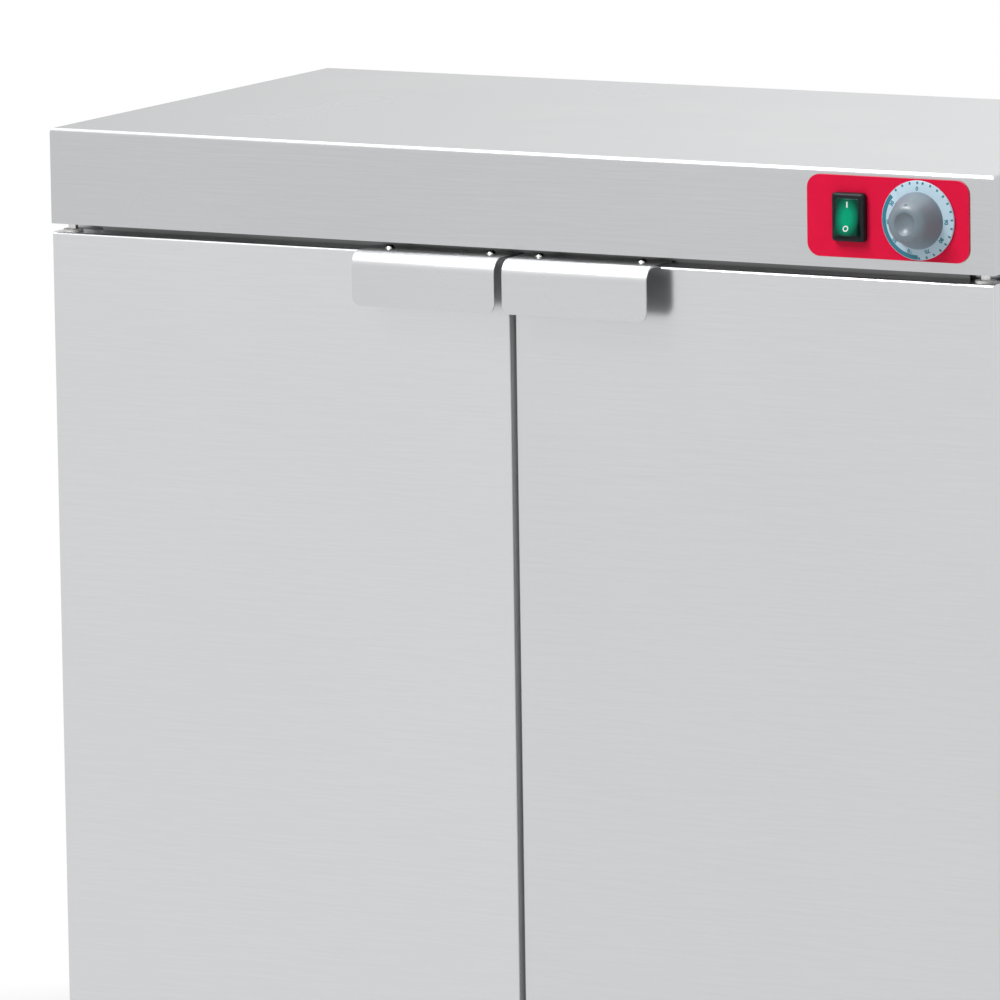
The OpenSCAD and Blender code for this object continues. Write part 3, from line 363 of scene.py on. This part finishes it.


# Chamber liner: five plain mill-finish stainless sheets that line the heated space, the
# ceiling and the deck above it in a duller sheet painted about half as dark, as painted
# shade in the gap over the doors, with yellow mineral wool slabs packed between them and
# the outer panels.
liner_sheet = sheet_finish("liner_sheet", inner_steel, 0.3, upright, grain_upright, 0.04)
floor_sheet = sheet_finish("floor_sheet", inner_steel, 0.3, sideways, grain_sideways, 0.04)
# The ceiling and deck colour is painted shade: darker than the liner so that the gap under the apron reads
# dark.
gap_shade_sheet = sheet_finish("gap_shade_sheet", (0.3, 0.302, 0.305), 0.4, sideways, grain_sideways, 0.05)
dress(liner_sheet, "liner_left", "liner_right", "liner_back")
dress(floor_sheet, "liner_floor")
dress(gap_shade_sheet, "liner_top", "top_deck")
wool, tree, shader, place = new_finish("mineral_wool")
fibre = add(tree, "VectorMath", operation="MULTIPLY")
fibre.inputs[1].default_value = (260.0, 260.0, 1400.0)
tree.links.new(place.outputs["Object"], fibre.inputs[0])
strand = noise(tree, fibre.outputs["Vector"], 1.0, 5.0, 0.7)
tree.links.new(tint(tree, strand, (0.34, 0.27, 0.1), (0.66, 0.56, 0.3)), shader.inputs["Base Color"])
tree.links.new(remap(tree, strand, 0.8, 0.97), shader.inputs["Roughness"])
relief(tree, shader, strand, 0.7, 1.5 * mm)
dress(wool, "insulation_slabs", "door_core_left", "door_core_right")


# Heater: a tubular element bent into loops, its sheath darkened by heat, on two notched
# sheet supports, with a slotted stainless baffle over it that spreads the warm air.
sheath, tree, shader, place = new_finish("heater_sheath")
scale_marks = noise(tree, place.outputs["Object"], 45.0, 5.0, 0.65)
burnt = tint(tree, scale_marks, (0.06, 0.055, 0.055), (0.2, 0.17, 0.15))
tree.links.new(burnt, shader.inputs["Base Color"])
tree.links.new(remap(tree, scale_marks, 0.42, 0.62), shader.inputs["Roughness"])
relief(tree, shader, noise(tree, place.outputs["Object"], 900.0, 3.0), 0.15, 0.1 * mm)
shader.inputs["Metallic"].default_value = 1.0
dress(sheath, "heating_element")
dress(tray_sheet, "element_supports")
dress(floor_sheet, "baffle_plate")


# Shelf: bright drawn rods welded into a flat grille, which rests on two angle rails
# folded from stainless sheet and fixed to the chamber's sides.
rod_steel = plated_finish("rod_steel", (0.68, 0.68, 0.675), 0.18)
rearward = (0.0, 1.0, 0.0)
grain_rearward = (900.0, 14.0, 900.0)
rail_sheet = sheet_finish("rail_sheet", inner_steel, 0.28, rearward, grain_rearward)
dress(rod_steel, "shelf")
dress(rail_sheet, "shelf_rail_left", "shelf_rail_right")


# Door pivots and catches: plated steel plates with pins, held by screws above and below
# the door openings, and white nylon magnet catches under the chamber's ceiling.
dress(bolt_steel, *(f"{end}_pivot_{side}" for end in ("top", "bottom") for side in ("left", "right")))
dress(screw_steel, "pivot_screws")
nylon = moulded_finish("white_nylon", (0.8, 0.8, 0.77), 0.38, 0.03, 0.12)
shader = nylon.node_tree.nodes["Principled BSDF"]
shader.inputs["Subsurface Weight"].default_value = 0.15
shader.inputs["Subsurface Radius"].default_value = (0.002, 0.002, 0.0018)
dress(nylon, "magnet_catches", "door_bushes_left", "door_bushes_right")


# Doors: each a pan folded from satin stainless sheet, dull where the two meet, with an
# inner tray let into its back, wool between them, a nylon bush at each end and a plated
# strike for the magnet.
def dull_faces(finish, axis, start, end, dull):
    """Leaves the faces that look along one axis of a sheet piece duller than the rest."""
    tree = finish.node_tree
    rough = tree.nodes["Principled BSDF"].inputs["Roughness"]
    facing = add(tree, "SeparateXYZ")
    tree.links.new(add(tree, "TexCoord").outputs["Normal"], facing.inputs["Vector"])
    blend = add(tree, "Mix")
    tree.links.new(remap(tree, facing.outputs[axis], 0.0, 1.0, start, end), blend.inputs["Factor"])
    tree.links.new(rough.links[0].from_socket, blend.inputs["A"])
    blend.inputs["B"].default_value = dull
    tree.links.new(blend.outputs["Result"], rough)


meeting_start, meeting_end, meeting_dull = 0.5, 0.9, 0.8
inner_tray = sheet_finish("inner_tray", inner_steel, 0.3, sideways, grain_sideways, 0.04)
# The right door's lower tone is painted shade, standing in for the darker reflection it shows beside the
# left door.
for side, tone, inward in (("left", 0.635, 1), ("right", 0.61, -1)):
    door_tone = (tone, tone + 0.005, tone + 0.012)
    door_sheet = sheet_finish(f"door_sheet_{side}", door_tone, 0.22, sideways, grain_sideways, 0.02)
    dull_faces(door_sheet, "X", meeting_start * inward, meeting_end * inward, meeting_dull)
    dress(door_sheet, f"door_skin_{side}")
    dress(inner_tray, f"door_liner_{side}")
    dress(screw_steel, f"strike_plate_{side}")


# Handles: one strip of stainless sheet each, ground outside and dull inside, laid on the
# door's upper edge and folded down in front of it as a grip, held on the door's top by two
# bright dome-head screws.
handle_strip = sheet_finish("handle_strip", (0.58, 0.585, 0.592), 0.26, sideways, grain_sideways, 0.02)
inside_start, inside_end, inside_dull = 0.2, 0.6, 0.55
dull_faces(handle_strip, "Y", inside_start, inside_end, inside_dull)
dome_steel = plated_finish("dome_steel", (0.8, 0.8, 0.79), 0.16)
handle_head_d, handle_head_h = 8.5 * mm, 3.2 * mm
dome_r = (handle_head_h ** 2 + (handle_head_d / 2) ** 2) / (2 * handle_head_h)
dome_edge, recess_edge = math.degrees(math.asin(handle_head_d / 2 / dome_r)), 28
dome_head = arc((0, handle_head_h - dome_r), dome_r, dome_edge, recess_edge, 9)
first_turn, second_turn = 0.4, 1.1
for side in ("left", "right"):
    dress(handle_strip, f"handle_{side}")
    low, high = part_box(f"handle_screws_{side}")
    head_z = high.z - handle_head_h
    screw_places = [
        Matrix.Translation((x, (low.y + high.y) / 2, head_z)) @ Matrix.Rotation(turn, 4, "Z")
        for x, turn in ((low.x + handle_head_d / 2, first_turn), (high.x - handle_head_d / 2, second_turn))
    ]
    grip_screw = cross_screw(dome_head, screw_d, head_z - low.z)
    grip_screws = settle(repeat(grip_screw, screw_places), f"grip_screws_{side}", dome_steel,
                         f"{side}_door")
    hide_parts(f"handle_screws_{side}")


# Worktop: one stainless sheet folded down into the apron and skirts with a closed hem,
# ground along its length, and stiffened below by two folded channels.
top_sheet = sheet_finish("top_sheet", (0.53, 0.535, 0.545), 0.24, sideways, grain_sideways, 0.025)
dress(top_sheet, "worktop")
dress(tray_sheet, "worktop_stiffeners")


# Control plate: a steel plate with round corners, enamelled red and clamped on the apron
# by the switch and the thermostat.
red_enamel = moulded_finish("red_enamel", (0.84, 0.006, 0.055), 0.35, 0.02, 0.02, 0.15)
dress(red_enamel, "control_plate")


# Rocker switch: a black moulded housing with a raised frame, snapped into the plate, and
# a green rocker lit from inside, with white moulded on and off marks.
black_skin = moulded_finish("black_skin", (0.01, 0.012, 0.015), 0.32, 0.12, 0.1, 0.2)
frame_w, frame_h, frame_d = 28.5 * mm, 38.5 * mm, 6.0 * mm
frame_corner_r, frame_edge_r, frame_rim = 3.0 * mm, 2.4 * mm, 1.0 * mm
well_w, well_h, well_d, well_slope_d = 20.6 * mm, 31.6 * mm, 7.0 * mm, 0.8 * mm
body_w, body_h, body_edge_r, body_gap = 23.6 * mm, 34.6 * mm, 1.0 * mm, 0.01 * mm
touch = 0.01 * mm
low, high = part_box("switch_housing")
switch_x, control_z, plate_y = (low.x + high.x) / 2, (low.z + high.z) / 2, low.y + frame_d
body_d = high.y - plate_y
to_switch = Matrix.Translation((switch_x, plate_y, control_z)) @ Matrix.Rotation(math.pi / 2, 4, "X")


def round_edges(bm, edges, size, segments=4):
    """Rounds these edges."""
    bmesh.ops.bevel(bm, geom=edges, offset=size, segments=segments, profile=0.5,
                    affect="EDGES", material=-1)


def block(bm, width, height, bottom, top):
    """A block on the Z axis, from one height to another."""
    verts = bmesh.ops.create_cube(bm, size=1.0)["verts"]
    bmesh.ops.scale(bm, vec=(width, height, top - bottom), verts=verts)
    bmesh.ops.translate(bm, vec=(0, 0, (top + bottom) / 2), verts=verts)
    return verts


def front_face(bm):
    """The face that lies furthest up Z."""
    return max(bm.faces, key=lambda face: face.calc_center_median().z)


bm = bmesh.new()
block(bm, frame_w, frame_h, 0.0, frame_d)
corner_edges = [edge for edge in bm.edges
                if abs(edge.verts[0].co.z - edge.verts[1].co.z) > frame_d / 2]
round_edges(bm, corner_edges, frame_corner_r, 6)
round_edges(bm, list(front_face(bm).edges), frame_edge_r, 3)
front = front_face(bm)
bmesh.ops.inset_region(bm, faces=[front], thickness=frame_rim, use_even_offset=True)
sunk = bmesh.ops.extrude_face_region(bm, geom=[front])["geom"]
for vert in verts_in(sunk):
    vert.co.x = max(-well_w / 2, min(well_w / 2, vert.co.x))
    vert.co.y = max(-well_h / 2, min(well_h / 2, vert.co.y))
bmesh.ops.translate(bm, vec=(0, 0, -well_slope_d), verts=verts_in(sunk))
sunk_face = next(part for part in sunk if isinstance(part, bmesh.types.BMFace))
well_floor = verts_in(bmesh.ops.extrude_face_region(bm, geom=[sunk_face])["geom"])
bmesh.ops.translate(bm, vec=(0, 0, well_slope_d - well_d), verts=well_floor)
block(bm, body_w, body_h, -body_d, -body_gap)
back_edges = [edge for edge in bm.edges if all(vert.co.z < touch - body_d for vert in edge.verts)]
round_edges(bm, back_edges, body_edge_r, 2)
bm.transform(to_switch)
switch_frame = settle(bm, "switch_frame", black_skin, "cabinet")
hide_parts("switch_housing")

green_lens, tree, shader, place = new_finish("green_lens")
glow_half_w, glow_half_h = 10.5 * mm, 16.5 * mm
centred = add(tree, "Mapping")
centred.inputs["Location"].default_value = (-switch_x, 0.0, -control_z)
tree.links.new(place.outputs["Object"], centred.inputs["Vector"])
shaped = add(tree, "VectorMath", operation="MULTIPLY")
shaped.inputs[1].default_value = (1 / glow_half_w, 0.0, 1 / glow_half_h)
tree.links.new(centred.outputs["Vector"], shaped.inputs[0])
reach = add(tree, "VectorMath", operation="LENGTH")
tree.links.new(shaped.outputs["Vector"], reach.inputs[0])
glow = remap(tree, reach.outputs["Value"], 1.0, 0.0, 0.35, 1.0)
lens_green = tint(tree, glow, (0.0, 0.05, 0.03), (0.0, 0.22, 0.11), 0.0, 1.0)
tree.links.new(lens_green, shader.inputs["Base Color"])
lamp_green = tint(tree, glow, (0.0, 0.004, 0.002), (0.0, 0.13, 0.07), 0.0, 1.0)
tree.links.new(lamp_green, shader.inputs["Emission Color"])
shader.inputs["Emission Strength"].default_value = 1.0
lens_gloss = remap(tree, noise(tree, place.outputs["Object"], 300.0), 0.12, 0.2)
tree.links.new(lens_gloss, shader.inputs["Roughness"])
shader.inputs["Specular IOR Level"].default_value = 0.1

rocker_w, rocker_tilt, rocker_middle = 20.0 * mm, math.radians(9.0), 4.0 * mm
rocker_proud, rocker_end, rocker_keel = 0.5 * mm, 14.3 * mm, 2.0 * mm
rocker_half, rocker_heel = 15.3 * mm, 2.5 * mm
valley_soft, lip_soft, rocker_edge_r = 7.5 * mm, 1.2 * mm, 1.0 * mm
rocker_pin_r, rocker_pin_l = 1.5 * mm, 21.6 * mm
rocker_lip = rocker_middle + rocker_end * math.tan(rocker_tilt)
axis_out = frame_d + rocker_proud - rocker_middle
to_rocker = to_switch @ Matrix.Translation((0, 0, axis_out)) @ Matrix.Rotation(-rocker_tilt, 4, "X")
bm = bmesh.new()
outline = wire(bm, ((-rocker_half, -rocker_keel), (-rocker_half, rocker_heel), (-rocker_end, rocker_lip),
                    (0, rocker_middle), (rocker_end, rocker_lip), (rocker_half, rocker_heel),
                    (rocker_half, -rocker_keel)))
bm.edges.new((outline[-1], outline[0]))
lower_lip, valley, upper_lip = outline[2:5]
soften(bm, [valley], valley_soft, 10)
soften(bm, [lower_lip, upper_lip], lip_soft)
bmesh.ops.contextual_create(bm, geom=bm.edges[:])
far_side = verts_in(bmesh.ops.extrude_face_region(bm, geom=bm.faces[:], use_keep_orig=True)["geom"])
bmesh.ops.translate(bm, vec=(0, rocker_w, 0), verts=far_side)
bmesh.ops.translate(bm, vec=(0, -rocker_w / 2, 0), verts=bm.verts)
bmesh.ops.rotate(bm, matrix=Matrix.Rotation(math.pi / 2, 3, "Z"), verts=bm.verts)
side_edges = [edge for edge in bm.edges if abs(abs(edge.verts[0].co.x) - rocker_w / 2) < touch
              and abs(edge.verts[0].co.x - edge.verts[1].co.x) < touch
              and max(vert.co.z for vert in edge.verts) > 0]
round_edges(bm, side_edges, rocker_edge_r)
bmesh.ops.create_cone(bm, cap_ends=True, segments=24, radius1=rocker_pin_r, radius2=rocker_pin_r,
                      depth=rocker_pin_l, matrix=Matrix.Rotation(math.pi / 2, 4, "Y"))
bm.transform(to_rocker)
rocker_lens = settle(bm, "rocker_lens", green_lens, "rocker")
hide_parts("switch_rocker")

mark_white = moulded_finish("mark_white", (0.8, 0.84, 0.82), 0.3, 0.03, 0.05)
mark_up, mark_t = 9.4 * mm, 0.15 * mm
bar_w, bar_h, ring_in, ring_out = 1.3 * mm, 4.6 * mm, 1.5 * mm, 2.4 * mm
mark_seat = rocker_middle + mark_up * math.tan(rocker_tilt)
bm = bmesh.new()
block(bm, bar_w, bar_h, -mark_t, mark_t)
bm.transform(Matrix.Translation((0, mark_up, mark_seat)) @ Matrix.Rotation(rocker_tilt, 4, "X"))
ring = bmesh.new()
hoop = wire(ring, ((ring_in, -mark_t), (ring_out, -mark_t), (ring_out, mark_t), (ring_in, mark_t)))
ring.edges.new((hoop[-1], hoop[0]))
spin_up(ring, 32)
ring.transform(Matrix.Translation((0, -mark_up, mark_seat)) @ Matrix.Rotation(-rocker_tilt, 4, "X"))
join(bm, ring)
bm.transform(to_rocker)
settle(bm, "rocker_marks", mark_white, "rocker")


# Thermostat: a cream moulded body behind the apron with a plain copper capillary and
# bulb in the chamber, and a plated spindle that comes out through the red plate.
cream = moulded_finish("cream_moulding", (0.66, 0.62, 0.52), 0.4, 0.05, 0.12)
copper = plated_finish("copper_tube", (0.62, 0.33, 0.19), 0.28, 0.12)
dress(cream, "thermostat_body", "terminal_block")
dress(copper, "sensor_bulb")
dress(bolt_steel, "thermostat_shaft")


# Knob: a satin blue-grey moulding, tapered and rounded at the front, with a finger dimple
# and a dark index spot above it, pushed onto the spindle.
knob_low, knob_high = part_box("knob")
skirt_low, skirt_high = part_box("knob_skirt")
shaft_low, shaft_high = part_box("thermostat_shaft")
knob_x = (knob_low.x + knob_high.x) / 2
to_knob = Matrix.Translation((knob_x, skirt_high.y, control_z)) @ Matrix.Rotation(math.pi / 2, 4, "X")
knob_l = skirt_high.y - knob_low.y
skirt_t = skirt_high.y - skirt_low.y
bore_gap = 0.1 * mm
bore_r = (shaft_high.x - shaft_low.x) / 2 + bore_gap
bore_l = skirt_high.y - shaft_low.y + bore_gap
hub_r, base_r, crown_r, round_r = 7.0 * mm, (knob_high.x - knob_low.x) / 2, 9.0 * mm, 8.0 * mm
dimple_d, dimple_soft, shoulder_z = 4.0 * mm, 0.5 * mm, knob_l - round_r
dimple_r = (dimple_d ** 2 + crown_r ** 2) / (2 * dimple_d)
dimple_turn = math.degrees(math.asin(crown_r / dimple_r))
side_run = Vector((base_r - crown_r, shoulder_z - skirt_t))
side_turn = math.acos(round_r / side_run.length) - math.atan2(side_run.y, side_run.x)
foot = [(0, bore_l), (bore_r, bore_l), (bore_r, 0), (hub_r, 0), (hub_r, skirt_t), (base_r, skirt_t)]
shoulder = arc((crown_r, shoulder_z), round_r, 90 - math.degrees(side_turn), 0, 16)
dimple = arc((0, knob_l - dimple_d + dimple_r), dimple_r, 180 - dimple_turn, 180, 12)
bm = bmesh.new()
chain = wire(bm, [*foot, *shoulder, *dimple[1:]])
soften(bm, [chain[len(foot) + len(shoulder) - 1]], dimple_soft)
spin_up(bm, 128)
bm.transform(to_knob)
knob_skin = moulded_finish("knob_skin", (0.16, 0.21, 0.25), 0.38, 0.04, 0.06, 1.0)
knob_grip = settle(bm, "knob_grip", knob_skin, "thermostat_knob")
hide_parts("knob")

spot_turn, spot_r = math.radians(45.0), 1.2 * mm
spot_drop, spot_crown_r, spot_edge = 3.0 * spot_r, 3.16 * spot_r, 18
spot_place = (0, crown_r + round_r * math.sin(spot_turn), shoulder_z + round_r * math.cos(spot_turn))
bm = bmesh.new()
wire(bm, [(0, -spot_r), (spot_r, 0), *arc((0, -spot_drop), spot_crown_r, spot_edge, 0, 4)])
spin_up(bm, 24)
bm.transform(to_knob @ Matrix.Translation(spot_place) @ Matrix.Rotation(-spot_turn, 4, "X"))
spot_skin = moulded_finish("spot_skin", (0.1, 0.135, 0.17), 0.4, 0.06, 0.06)
settle(bm, "index_spot", spot_skin, "thermostat_knob")


# Dial skirt: a pale satin ring moulded round the knob's foot, with a bevelled face that
# carries printed teal numbers of degrees, short lines and a band along the lower heats.
skirt_r, rim_t, rim_soft = (skirt_high.x - skirt_low.x) / 2, 1.4 * mm, 0.5 * mm
bm = bmesh.new()
chain = wire(bm, ((hub_r, 0), (skirt_r, 0), (skirt_r, rim_t), (base_r, skirt_t), (hub_r, skirt_t)))
bm.edges.new((chain[-1], chain[0]))
soften(bm, [chain[2]], rim_soft)
spin_up(bm, 128)
bm.transform(to_knob)
skirt_skin = moulded_finish("skirt_skin", (0.56, 0.74, 0.86), 0.3, 0.03, 0.06)
dial_skirt = settle(bm, "dial_skirt", skirt_skin, "thermostat_knob")
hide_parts("knob_skirt")

slope = math.atan2(skirt_t - rim_t, skirt_r - base_r)


def on_skirt(turn, radius):
    """A place on the skirt's slope: Y points out from the knob, Z off the face."""
    height = skirt_t - (radius - base_r) * math.tan(slope)
    return (to_knob @ Matrix.Rotation(math.radians(turn), 4, "Z")
            @ Matrix.Translation((0, radius, height)) @ Matrix.Rotation(-slope, 4, "X"))


dial_steps = ("0", "30", "40", "50", "60", "70", "80", "90")
dial_turns = (0, 60, 95, 130, 165, 200, 235, 270)
print_t = 0.08 * mm
number_h, number_bold, number_r = 4.2 * mm, 0.16 * mm, base_r + 2.5 * mm
line_w, line_l, line_r, line_step = 1.5 * mm, 2.0 * mm, skirt_r - 1.6 * mm, 13
band_w, band_r, band_start, band_end, band_steps = 3.6 * mm, skirt_r - 0.5 * mm, 50, 180, 26
bm = bmesh.new()
for label, turn in zip(dial_steps, dial_turns):
    words = bpy.data.curves.new("number", "FONT")
    words.body = label
    words.size = number_h
    words.align_x = "CENTER"
    words.align_y = "CENTER"
    words.extrude = print_t
    words.offset = number_bold
    holder = bpy.data.objects.new("number", words)
    printed = holder.to_mesh().copy()
    printed.transform(on_skirt(turn, number_r))
    bm.from_mesh(printed)
    bpy.data.objects.remove(holder)
    bpy.data.curves.remove(words)
    bpy.data.meshes.remove(printed)
for turn in range(0, 360, line_step):
    if not band_start < turn < band_end:
        line = block(bm, line_w, line_l, -print_t, print_t)
        bmesh.ops.transform(bm, matrix=on_skirt(turn, line_r), verts=line)
band = bmesh.new()
band_ends = [band.verts.new(on_skirt(band_start, radius) @ Vector((0, 0, print_t)))
             for radius in (band_r - band_w, band_r)]
band.edges.new(band_ends)
bmesh.ops.spin(band, geom=band.verts[:] + band.edges[:], cent=to_knob.translation,
               axis=to_knob.to_3x3() @ Vector(upright), angle=math.radians(band_end - band_start),
               steps=band_steps)
join(bm, band)
dial_ink = moulded_finish("dial_ink", (0.02, 0.2, 0.28), 0.4, 0.08, 0.05)
settle(bm, "dial_print", dial_ink, "thermostat_knob")


# Wiring and cable gland: sleeved leads run from the terminal block to the switch, the
# thermostat and the heater, and a black ribbed gland with a rubber seal sits in the back.
sleeve = moulded_finish("wire_sleeve", (0.3, 0.05, 0.04), 0.6, 0.15, 0.4)
dress(sleeve, "wiring")
dress(black_skin, "gland_locknut")
low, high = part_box("cable_gland")
gland_hex_t, gland_hex_r, hex_edge_r, gland_bore_r = 5.0 * mm, 14.0 * mm, 0.5 * mm, 5.0 * mm
gland_thread_r, nut_r, nut_end_r, mouth_r = 10.0 * mm, 11.6 * mm, 8.5 * mm, 7.0 * mm
gland_nut_l, nut_shoulder_z, mouth_z = 15.0 * mm, 13.0 * mm, 12.0 * mm
nut_shoulder_soft, nut_end_soft = 2.5 * mm, 0.7 * mm
rib_w, rib_out, rib_start_z, rib_end_z = 1.4 * mm, 1.8 * mm, gland_hex_t + 0.6 * mm, 12.6 * mm
rib_edge_r, rib_count = 0.4 * mm, 18
nut_end_z = gland_hex_t + gland_nut_l
gland_seat = high.y - nut_end_z
thread_z = low.y - gland_seat
to_gland = Matrix.Translation(((low.x + high.x) / 2, gland_seat, (low.z + high.z) / 2)) @ facing_back
bm = bmesh.new()
chain = wire(bm, ((gland_bore_r, thread_z), (gland_thread_r, thread_z), (gland_thread_r, gland_hex_t),
                  (nut_r, gland_hex_t), (nut_r, nut_shoulder_z), (nut_end_r, nut_end_z),
                  (mouth_r, nut_end_z), (mouth_r, mouth_z), (gland_bore_r, mouth_z)))
bm.edges.new((chain[-1], chain[0]))
nut_shoulder, nut_end = chain[4:6]
soften(bm, [nut_shoulder], nut_shoulder_soft, 6)
soften(bm, [nut_end], nut_end_soft)
spin_up(bm, 48)
to_hexagon = Matrix.Translation((0, 0, gland_hex_t / 2))
hexagon = bmesh.ops.create_cone(bm, cap_ends=True, segments=6, radius1=gland_hex_r, radius2=gland_hex_r,
                                depth=gland_hex_t, matrix=to_hexagon)["verts"]
rims = {edge for vert in hexagon for edge in vert.link_edges if edge.verts[0].co.z == edge.verts[1].co.z}
round_edges(bm, list(rims), hex_edge_r, 2)
rib = bmesh.new()
block(rib, rib_w, rib_out, rib_start_z, rib_end_z)
round_edges(rib, rib.edges[:], rib_edge_r, 2)
out_to_rib = Matrix.Translation((0, nut_r, 0))
rib_places = [Matrix.Rotation(2 * math.pi * turn / rib_count, 4, "Z") @ out_to_rib
              for turn in range(rib_count)]
join(bm, repeat(rib, rib_places))
bm.transform(to_gland)
gland_nut = settle(bm, "gland_nut", black_skin, "cabinet")
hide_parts("cable_gland")

seal_end_z, seal_soft = 19.2 * mm, 0.6 * mm
bm = bmesh.new()
chain = wire(bm, ((gland_bore_r, mouth_z), (mouth_r, mouth_z), (mouth_r, seal_end_z),
                  (gland_bore_r, seal_end_z)))
bm.edges.new((chain[-1], chain[0]))
soften(bm, chain[2:], seal_soft)
spin_up(bm, 48)
bm.transform(to_gland)
rubber = moulded_finish("seal_rubber", (0.03, 0.03, 0.032), 0.7, 0.15, 0.3)
settle(bm, "gland_seal", rubber, "cabinet")


# Floor and light: a plain pale floor that fades to white away from the cabinet, a white
# room, a broad soft lamp above, a key lamp high on the left in front, a weak one on the
# right, and a card behind that only mirrors in the steel.
def seen_rays(tree):
    """A mask of the rays that show the room: straight, mirrored or through glass."""
    path = add(tree, "LightPath")
    pair = add(tree, "Math", operation="MAXIMUM")
    tree.links.new(path.outputs["Is Camera Ray"], pair.inputs[0])
    tree.links.new(path.outputs["Is Glossy Ray"], pair.inputs[1])
    every = add(tree, "Math", operation="MAXIMUM")
    tree.links.new(pair.outputs["Value"], every.inputs[0])
    tree.links.new(path.outputs["Is Transmission Ray"], every.inputs[1])
    return every.outputs["Value"]


pale_floor, tree, shader, place = new_finish("pale_floor")
shader.inputs["Base Color"].default_value = (0.82, 0.82, 0.82, 1.0)
shader.inputs["Roughness"].default_value = 0.9
shader.inputs["Specular IOR Level"].default_value = 0.1
floor_r, pool_shape, pool_start, pool_end = 60.0, (1.0, 1.5, 0.0), 0.55, 0.95
pool = add(tree, "VectorMath", operation="MULTIPLY")
pool.inputs[1].default_value = pool_shape
tree.links.new(place.outputs["Object"], pool.inputs[0])
flat = add(tree, "VectorMath", operation="LENGTH")
tree.links.new(pool.outputs["Vector"], flat.inputs[0])
far = remap(tree, flat.outputs["Value"], 0.0, 1.0, pool_start, pool_end)
shown = add(tree, "Math", operation="MULTIPLY")
tree.links.new(far, shown.inputs[0])
tree.links.new(seen_rays(tree), shown.inputs[1])
white = add(tree, "Emission")
fade = add(tree, "MixShader")
tree.links.new(shown.outputs["Value"], fade.inputs[0])
tree.links.new(shader.outputs["BSDF"], fade.inputs[1])
tree.links.new(white.outputs["Emission"], fade.inputs[2])
tree.links.new(fade.outputs["Shader"], tree.nodes["Material Output"].inputs["Surface"])
bm = bmesh.new()
bmesh.ops.create_circle(bm, cap_ends=True, segments=96, radius=floor_r)
bmesh.ops.translate(bm, vec=(0, 0, cad_low[2]), verts=bm.verts)
floor = piece_of(bm, "floor", pale_floor)

room = bpy.data.worlds.new("white_room")
bpy.context.scene.world = room
room.use_nodes = True
tree = room.node_tree
fill = tree.nodes["Background"]
fill.inputs["Color"].default_value = (1.0, 1.0, 1.0, 1.0)
fill.inputs["Strength"].default_value = 0.2
white = add(tree, "Background")
white.inputs["Color"].default_value = (1.0, 1.0, 1.0, 1.0)
white.inputs["Strength"].default_value = 1.0
fade = add(tree, "MixShader")
tree.links.new(seen_rays(tree), fade.inputs[0])
tree.links.new(fill.outputs["Background"], fade.inputs[1])
tree.links.new(white.outputs["Background"], fade.inputs[2])
tree.links.new(fade.outputs["Shader"], tree.nodes["World Output"].inputs["Surface"])

for name, spot, aim, width, height, watts in (
    ("lamp_above", (-0.35, -0.5, 3.2), (-0.35, -0.4, 0.0), 3.4, 3.0, 50.0),
    ("lamp_key", (-0.9, -2.4, 3.4), (0.0, 0.0, 0.6), 1.2, 1.2, 76.0),
    ("lamp_right", (2.6, -2.3, 1.2), (0.0, 0.0, 0.6), 0.9, 2.0, 2.0),
):
    glow_box = bpy.data.lights.new(name, "AREA")
    glow_box.shape = "RECTANGLE"
    glow_box.size = width
    glow_box.size_y = height
    glow_box.energy = watts
    lamp = bpy.data.objects.new(name, glow_box)
    lamp.location = spot
    lamp.rotation_euler = (Vector(aim) - Vector(spot)).to_track_quat("-Z", "Y").to_euler()
    lamp.visible_camera = False
    bpy.context.scene.collection.objects.link(lamp)
bpy.context.scene.view_settings.view_transform = "Standard"

card_w, card_h, card_middle = 4.8, 2.9, (-1.2, 2.6, 1.55)
card_dim, card_bright, card_start, card_end = 0.66, 1.28, -2.9, 0.0
grey_card, tree, shader, place = new_finish("grey_card")
split = add(tree, "SeparateXYZ")
tree.links.new(place.outputs["Object"], split.inputs["Vector"])
lit = add(tree, "Emission")
card_tone = remap(tree, split.outputs["X"], card_dim, card_bright, card_start, card_end)
tree.links.new(card_tone, lit.inputs["Strength"])
tree.links.new(lit.outputs["Emission"], tree.nodes["Material Output"].inputs["Surface"])
tree.nodes.remove(shader)
bm = bmesh.new()
bmesh.ops.create_grid(bm, x_segments=1, y_segments=1, size=0.5)
bmesh.ops.scale(bm, vec=(card_w, card_h, 1.0), verts=bm.verts)
bmesh.ops.rotate(bm, matrix=Matrix.Rotation(math.pi / 2, 3, "X"), verts=bm.verts)
bmesh.ops.translate(bm, vec=card_middle, verts=bm.verts)
card = piece_of(bm, "card", grey_card)
card.visible_camera = False
card.visible_diffuse = False
card.visible_shadow = False


# Camera: a long lens at the photograph's viewing angle, from the front right and a
# little above, placed from the worktop's front left corner.
yaw, pitch, roll = 0.496133353, 0.156708974, -0.0148266091
offset = (-0.366452, 0.302969, 8.134969)
ahead = Vector((-math.sin(yaw) * math.cos(pitch), math.cos(yaw) * math.cos(pitch), -math.sin(pitch)))
level = Vector((math.cos(yaw), math.sin(yaw), 0.0))
raised = level.cross(ahead)
rightward = math.cos(roll) * level + math.sin(roll) * raised
upward = -math.sin(roll) * level + math.cos(roll) * raised
low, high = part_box("worktop")
eye = Vector((low.x, low.y, high.z)) - offset[0] * rightward - offset[1] * upward - offset[2] * ahead
lens = bpy.data.cameras.new("camera")
lens.sensor_width = 36.0
lens.lens = 360.0
lens.clip_end = 200.0
camera = bpy.data.objects.new("camera", lens)
camera.matrix_world = Matrix((rightward, upward, -ahead)).transposed().to_4x4()
camera.matrix_world.translation = eye
bpy.context.scene.collection.objects.link(camera)
bpy.context.scene.camera = camera
